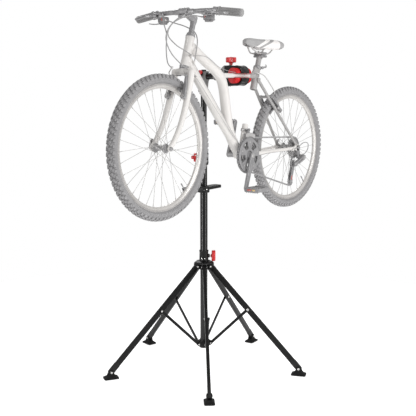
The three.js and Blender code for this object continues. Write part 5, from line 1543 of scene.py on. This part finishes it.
def mast_head():
    head = Shape()
    rings = []
    for z, half_x, half_y, corner in ((1476, 20.6, 20.6, 20.5), (1478, 22, 22, 21.9), (1500, 22.2, 22.2, 22),
                                      (1524, 22.6, 22.6, 21), (1542, 23.4, 24, 19), (1556, 24.4, 25.6, 14),
                                      (1568, 24.8, 26, 11)):
        rings.append([(a, b, z) for a, b in rounded(half_x, half_y, corner, 8)])
    head.loft(rings)
    head.turn([(-26.4, 17.3), (-26.4, 23.4), (-25, 25), (-14, 25.4), (14, 25.4), (25, 25), (26.4, 23.4),
               (26.4, 17.3)],
              ARM_CENTRE, Y, 64)
    head.turn([(1584, 0), (1584, 14.5), (1590, 13), (1601, 13), (1603, 11.6), (1603, 0)], ORIGIN, Z, 36,
              look=1)
    head.turn([(15, 0), (15, 13), (24, 12), (33, 11), (36, 10), (36, 0)], (0, 0, HEAD_KNOB_Z), -X, 36,
              look=1)
    head.block((-35, -8, 1486), (-17, 8, 1508), 4, 2, "y", look=1)
    head.hex_bolt((-27, -8, 1497), -Y, 6, 3.4, look=1)
    head.turn([(0, 0), (0, 6.6), (4, 6.6), (4.6, 5.6), (4.6, 0)], (-27, 8, 1497), Y, 6, look=2)
    for y in (-20, 20):
        head.ring([(y - 1.6, 25), (y - 1.6, 26), (y - 0.8, 26.6), (y + 0.8, 26.6), (y + 1.6, 26),
                   (y + 1.6, 25)],
                  ARM_CENTRE, Y, 64)
    for side in (-1, 1):
        web = smooth_path([(0, 22 * side, 1484), (0, 24.4 * side, 1520), (0, 27 * side, 1552)], 12)
        head.sweep(web, lambda t: rounded(2.6 + 1.4 * t, 3.4, 1.8, 3), side=X)
        web = smooth_path([(22 * side, 0, 1484), (24 * side, 0, 1520), (26 * side, 0, 1552)], 12)
        head.sweep(web, lambda t: rounded(2.6 + 1.4 * t, 3.4, 1.8, 3), side=Y)
    # The head casting's grey body (look 0) is painted highlight on what is a black casting.
    piece("mast_head_casting", head, "upper", [CASTING_HIGHLIGHT_GREY, BLACK_PAINT, STEEL], "mast_head")

    knob = hand_knob(3, 30, 11, 6, 20, 5, turn=math.radians(60), ease=4.5)
    turn = Matrix.Translation((-36.4, 0, HEAD_KNOB_Z)) @ Matrix.Rotation(math.radians(-90), 4, "Y")
    piece("head_knob_grip", Shape().add(knob, turn), "head_knob", [RED_PLASTIC, STEEL],
          "head_knob")


JAW_Y, JAW_SCREW_Y, STRUT_CLEAR = -232, -176, 11.8


def clamp():
    arm = Shape()
    arm.turn([(-104, 0), (-104, 16), (-103, 17), (76, 17), (76, 0)], ARM_CENTRE, Y, 56)
    arm.turn([(68, 0), (68, 17.6), (70, 19), (81, 19), (83.6, 17), (84, 15.4), (82.4, 14), (81, 6),
              (80.6, 0)],
             ARM_CENTRE, Y, 56, look=2)
    rings = []
    for y, half_x, half_z, corner in (
        (-74, 20, 20, 19.9), (-75.4, 22.4, 22.4, 22.2), (-82, 23, 23, 22.8), (-92, 23, 24.4, 22.4),
        (-104, 23, 28, 22.4), (-116, 23.4, 34, 22), (-127, 24, 42, 20), (-136, 24.4, 48.6, 17),
        (-142, 24.4, 51.6, 14),
        (-147, 24, 52.2, 11), (-150, 23, 51, 9), (-151, 20, 47, 7), (-172, 17.6, 44.6, 7),
        (-176, 16, 43, 6)):
        rings.append([(a, y, STRUT_Z + b) for a, b in rounded(half_x, half_z, corner, 7)])
    arm.loft(rings, look=1)
    for side in (-1, 1):
        rib = smooth_path([(23 * side, -86, STRUT_Z), (24 * side, -112, STRUT_Z),
                           (25 * side, -142, STRUT_Z)], 16)
        arm.sweep(rib, lambda t: rounded(1.8, 5 + 26 * t, 1.6, 3), side=X, look=1)
    arm.turn([(0, 0), (0, 12), (2, 12.6), (8, 12), (10, 9), (10, 0)], (0, -138, 1520), -Z, 32, look=1)
    # The flared socket and its ribs (look 1) take the same painted-highlight grey.
    piece("clamp_arm_casting", arm, "arm", [MAST_BLACK, CASTING_HIGHLIGHT_GREY, BLACK_PLASTIC, STEEL],
          "clamp_arm")

    face = STRUT_Z - STRUT_CLEAR
    lower, pad = Shape(), Shape()
    turns = [math.radians(180 + 180 * k / 36) for k in range(37)]
    outline = ([(JAW_Y + 38 * math.cos(t), face + 38 * math.sin(t)) for t in turns]
               + [(JAW_Y + 26.3 * math.cos(t), face + 26.3 * math.sin(t)) for t in turns[::-1]])
    lower.slab(outline, -31, 31, 1.6, 3, across)
    for x in (-27, 27):
        rib = [Vector((x, JAW_Y + 37.6 * math.cos(t), face + 37.6 * math.sin(t))) for t in turns[1:-1]]
        lower.sweep(rib, circle(1.6, 10), side=X)
    limb = [(-150.4, face - 2.4), (-150.4, 1521), (-153, 1518.6), (-166, 1518), (-190, 1519), (-214, 1520.6),
            (-232, 1526), (-226, 1531.6), (-212, 1538.6), (-205.6, 1548), (-204, face - 0.6)]
    lower.slab(limb, -23, 23, 3, 4, across)
    lower.hex_bolt((0, -168, 1518.4), -Z, 6, 3, look=1)
    upper = Shape().add(lower, Matrix.Translation((0, 0, 2 * STRUT_Z)) @ Matrix.Diagonal((1, 1, -1, 1)))
    upper.turn([(1604, 0), (1604, 16.6), (1612, 14.6), (1618.6, 12.4), (1620, 11.4), (1620, 0)],
               (0, JAW_SCREW_Y, 0), Z, 36)
    piece("jaw_lower_shell", lower, "arm", [MAST_BLACK, STEEL], "jaw_lower")
    piece("jaw_upper_shell", upper, "jaw_upper", [MAST_BLACK, STEEL], "jaw_upper")

    pad.slab([(JAW_Y + 26 * math.cos(t), face + 26 * math.sin(t)) for t in turns], -65, 65, 2.4, 4, across)
    for x in (-61, -55, 55, 61):
        rib = [Vector((x, JAW_Y + 26 * math.cos(t), face + 26 * math.sin(t))) for t in turns[1:-1]]
        pad.sweep(rib, circle(1.1, 10), side=X)
    piece("pad_lower_rubber", pad, "arm", RED_RUBBER, "pad_lower")
    other = Shape().add(pad, Matrix.Translation((0, 0, 2 * STRUT_Z)) @ Matrix.Diagonal((1, 1, -1, 1)))
    piece("pad_upper_rubber", other, "jaw_upper", RED_RUBBER, "pad_upper")

    knob = hand_knob(3, 29, 13, 15, 42, 7, turn=math.radians(38), ease=5)
    knob.turn([(4, 0), (4, 8), (15, 9.4), (15, 0)], ORIGIN, Z, 28)
    piece("jaw_knob_grip", Shape().add(knob, Matrix.Translation((0, JAW_SCREW_Y, 1620.3))), "jaw_knob",
          [RED_PLASTIC, STEEL], "jaw_knob")


# ------------------------------------------------------------------ seat


def saddle():
    """A two-tone cover over a moulded shell, on steel rails."""
    stations = [  # x, half width, top, bottom
        (31.6, 8, 1742, 1731), (34, 13, 1749, 1724), (42, 18.5, 1755, 1718), (56, 21.5, 1758.4, 1714),
        (80, 24.5, 1759.6, 1711), (110, 28, 1758.6, 1708.6), (140, 33, 1757.4, 1706), (165, 40, 1757, 1703),
        (190, 50, 1757.4, 1700), (215, 61, 1758, 1698), (240, 70.5, 1758.4, 1697.6), (262, 75, 1757.4, 1699),
        (280, 74, 1754, 1704), (290, 68, 1749, 1710), (295.6, 58, 1744, 1718), (297.6, 44, 1739, 1725),
    ]
    rings = []
    for x, half, top, bottom in stations:
        ring = []
        for k in range(40):
            angle = TAU * k / 40
            c, s = math.cos(angle), math.sin(angle)
            y = half * math.copysign(abs(c) ** 0.78, c)
            if s >= 0:
                dip = 2.6 * math.exp(-(y / 9) ** 2) * min(1, max(0, (x - 60) / 60))
                z = (top + bottom) / 2 + (top - bottom) / 2 * s ** 0.8 - dip
            else:
                tuck = 0.42 * (top - bottom)
                z = (top + bottom) / 2 - (top - bottom) / 2 * abs(s) ** 0.55 + tuck * max(0,
                                                                                          1 - abs(c) * 1.5)
            ring.append(Vector((x + 0.10 * abs(y) if x > 285 else x, y, z)))
        rings.append(ring)
    cover = Shape().loft(rings)
    made = piece("saddle_cover", cover, "seat", SADDLE_COVER, "saddle", BIKE, sharp=60)
    smoother = made.modifiers.new("smooth", "SUBSURF")
    smoother.levels = smoother.render_levels = 2

    under = Shape()
    for side in (-1, 1):
        rail = smooth_path([(66, 8 * side, 1727), (88, 14 * side, 1704), (112, 21 * side, 1688),
                            (130, 22 * side, 1684.4),
                            (172, 22 * side, 1684.2), (214, 22 * side, 1684.6), (236, 27 * side, 1700),
                            (256, 33 * side, 1728)], 40)
        under.tube(rail, 3.6, sides=16, side=Y)
    under.block((236, -42, 1722), (268, 42, 1733), 5, 2, "y", look=1)
    under.block((56, -13, 1716), (80, 13, 1727), 4, 2, "y", look=1)
    piece("saddle_rails", under, "seat", [PALE_METAL, GREY_PLASTIC], (), BIKE)

    post = Shape()
    post.turn([(10, 0), (10, 12.4), (11, 13.5), (172, 13.5), (176, 14.4), (182, 14.6), (184, 13), (184, 0)],
              on_seat(0),
              SEAT_AXIS, 40)
    for k in range(5):
        mark = 128 + 4 * k
        post.ring([(mark - 0.25, 13.3), (mark - 0.25, 13.7), (mark + 0.25, 13.7), (mark + 0.25, 13.3)],
                  on_seat(0), SEAT_AXIS, 40)
    post.block((150, -28, 1664), (196, 28, 1676), 5, 2.5, "y", look=1)
    post.block((150, -29, 1677), (194, 29, 1691), 6, 2.5, "y", look=1)
    post.rod((172, -31, 1672), (172, 31, 1672), 5.4, look=1)
    for x in (158, 187):
        post.rod((x, 0, 1656), (x, 0, 1697), 3, look=2)
        post.turn([(0, 0), (0, 5.4), (4.6, 5.4), (5, 4.6), (5, 0)], (x, 0, 1691), Z, 6, look=2)
        post.hex_bolt((x, 0, 1663), -Z, 5, 4, look=2)
    piece("seatpost_and_clamp", post, "seat", [GREY_PAINT, GREY_METAL, PALE_METAL],
          "seatpost", BIKE)


SADDLE_STRIPES, SADDLE_TAIL = (0.083, 0.112, 0.135), 0.25     # metres behind the mast


def saddle_cover_finish():
    """Grey vinyl at the nose, a slanting grey band and a grey tail on a white cover, with a leather grain."""
    material = finish("saddle_cover", (158, 157, 157), 0.55, sheen=0.08, vary=0.05, grain=1500, bump=0.4,
                      depth=0.0005, pattern="leather")
    tree = material.node_tree
    nodes, links = tree.nodes, tree.links
    shader = next(n for n in nodes if n.type == "BSDF_PRINCIPLED")
    grey = shader.inputs["Base Color"].links[0].from_socket
    place = nodes.new("ShaderNodeTexCoord")
    split = nodes.new("ShaderNodeSeparateXYZ")
    links.new(place.outputs["Object"], split.inputs[0])

    def maths(operation, a, b):
        made = nodes.new("ShaderNodeMath")
        made.operation = operation
        for socket, value in zip(made.inputs, (a, b)):
            if isinstance(value, (int, float)):
                socket.default_value = value
            else:
                links.new(value, socket)
        return made.outputs[0]

    rise = maths("MULTIPLY", maths("SUBTRACT", split.outputs["Z"], 1.706), 2.0)
    along = maths("SUBTRACT", maths("SUBTRACT", split.outputs["X"], MAST_X), rise)
    first, second, third = (maths("GREATER_THAN", along, edge) for edge in SADDLE_STRIPES)
    tail = maths("GREATER_THAN", maths("SUBTRACT", split.outputs["X"], MAST_X), SADDLE_TAIL)
    white = maths("SUBTRACT", maths("SUBTRACT", maths("ADD", first, third), second), tail)
    both = nodes.new("ShaderNodeMix")
    both.data_type = "RGBA"
    both.inputs["B"].default_value = shade((226, 223, 221))
    links.new(grey, both.inputs["A"])
    links.new(white, both.inputs["Factor"])
    links.new(both.outputs["Result"], shader.inputs["Base Color"])
    return material


SADDLE_COVER = saddle_cover_finish()

masts()
lower_hub()
collar_and_knob()
tool_tray()
crown_and_knob()
folding_base()
mast_head()
clamp()
saddle()
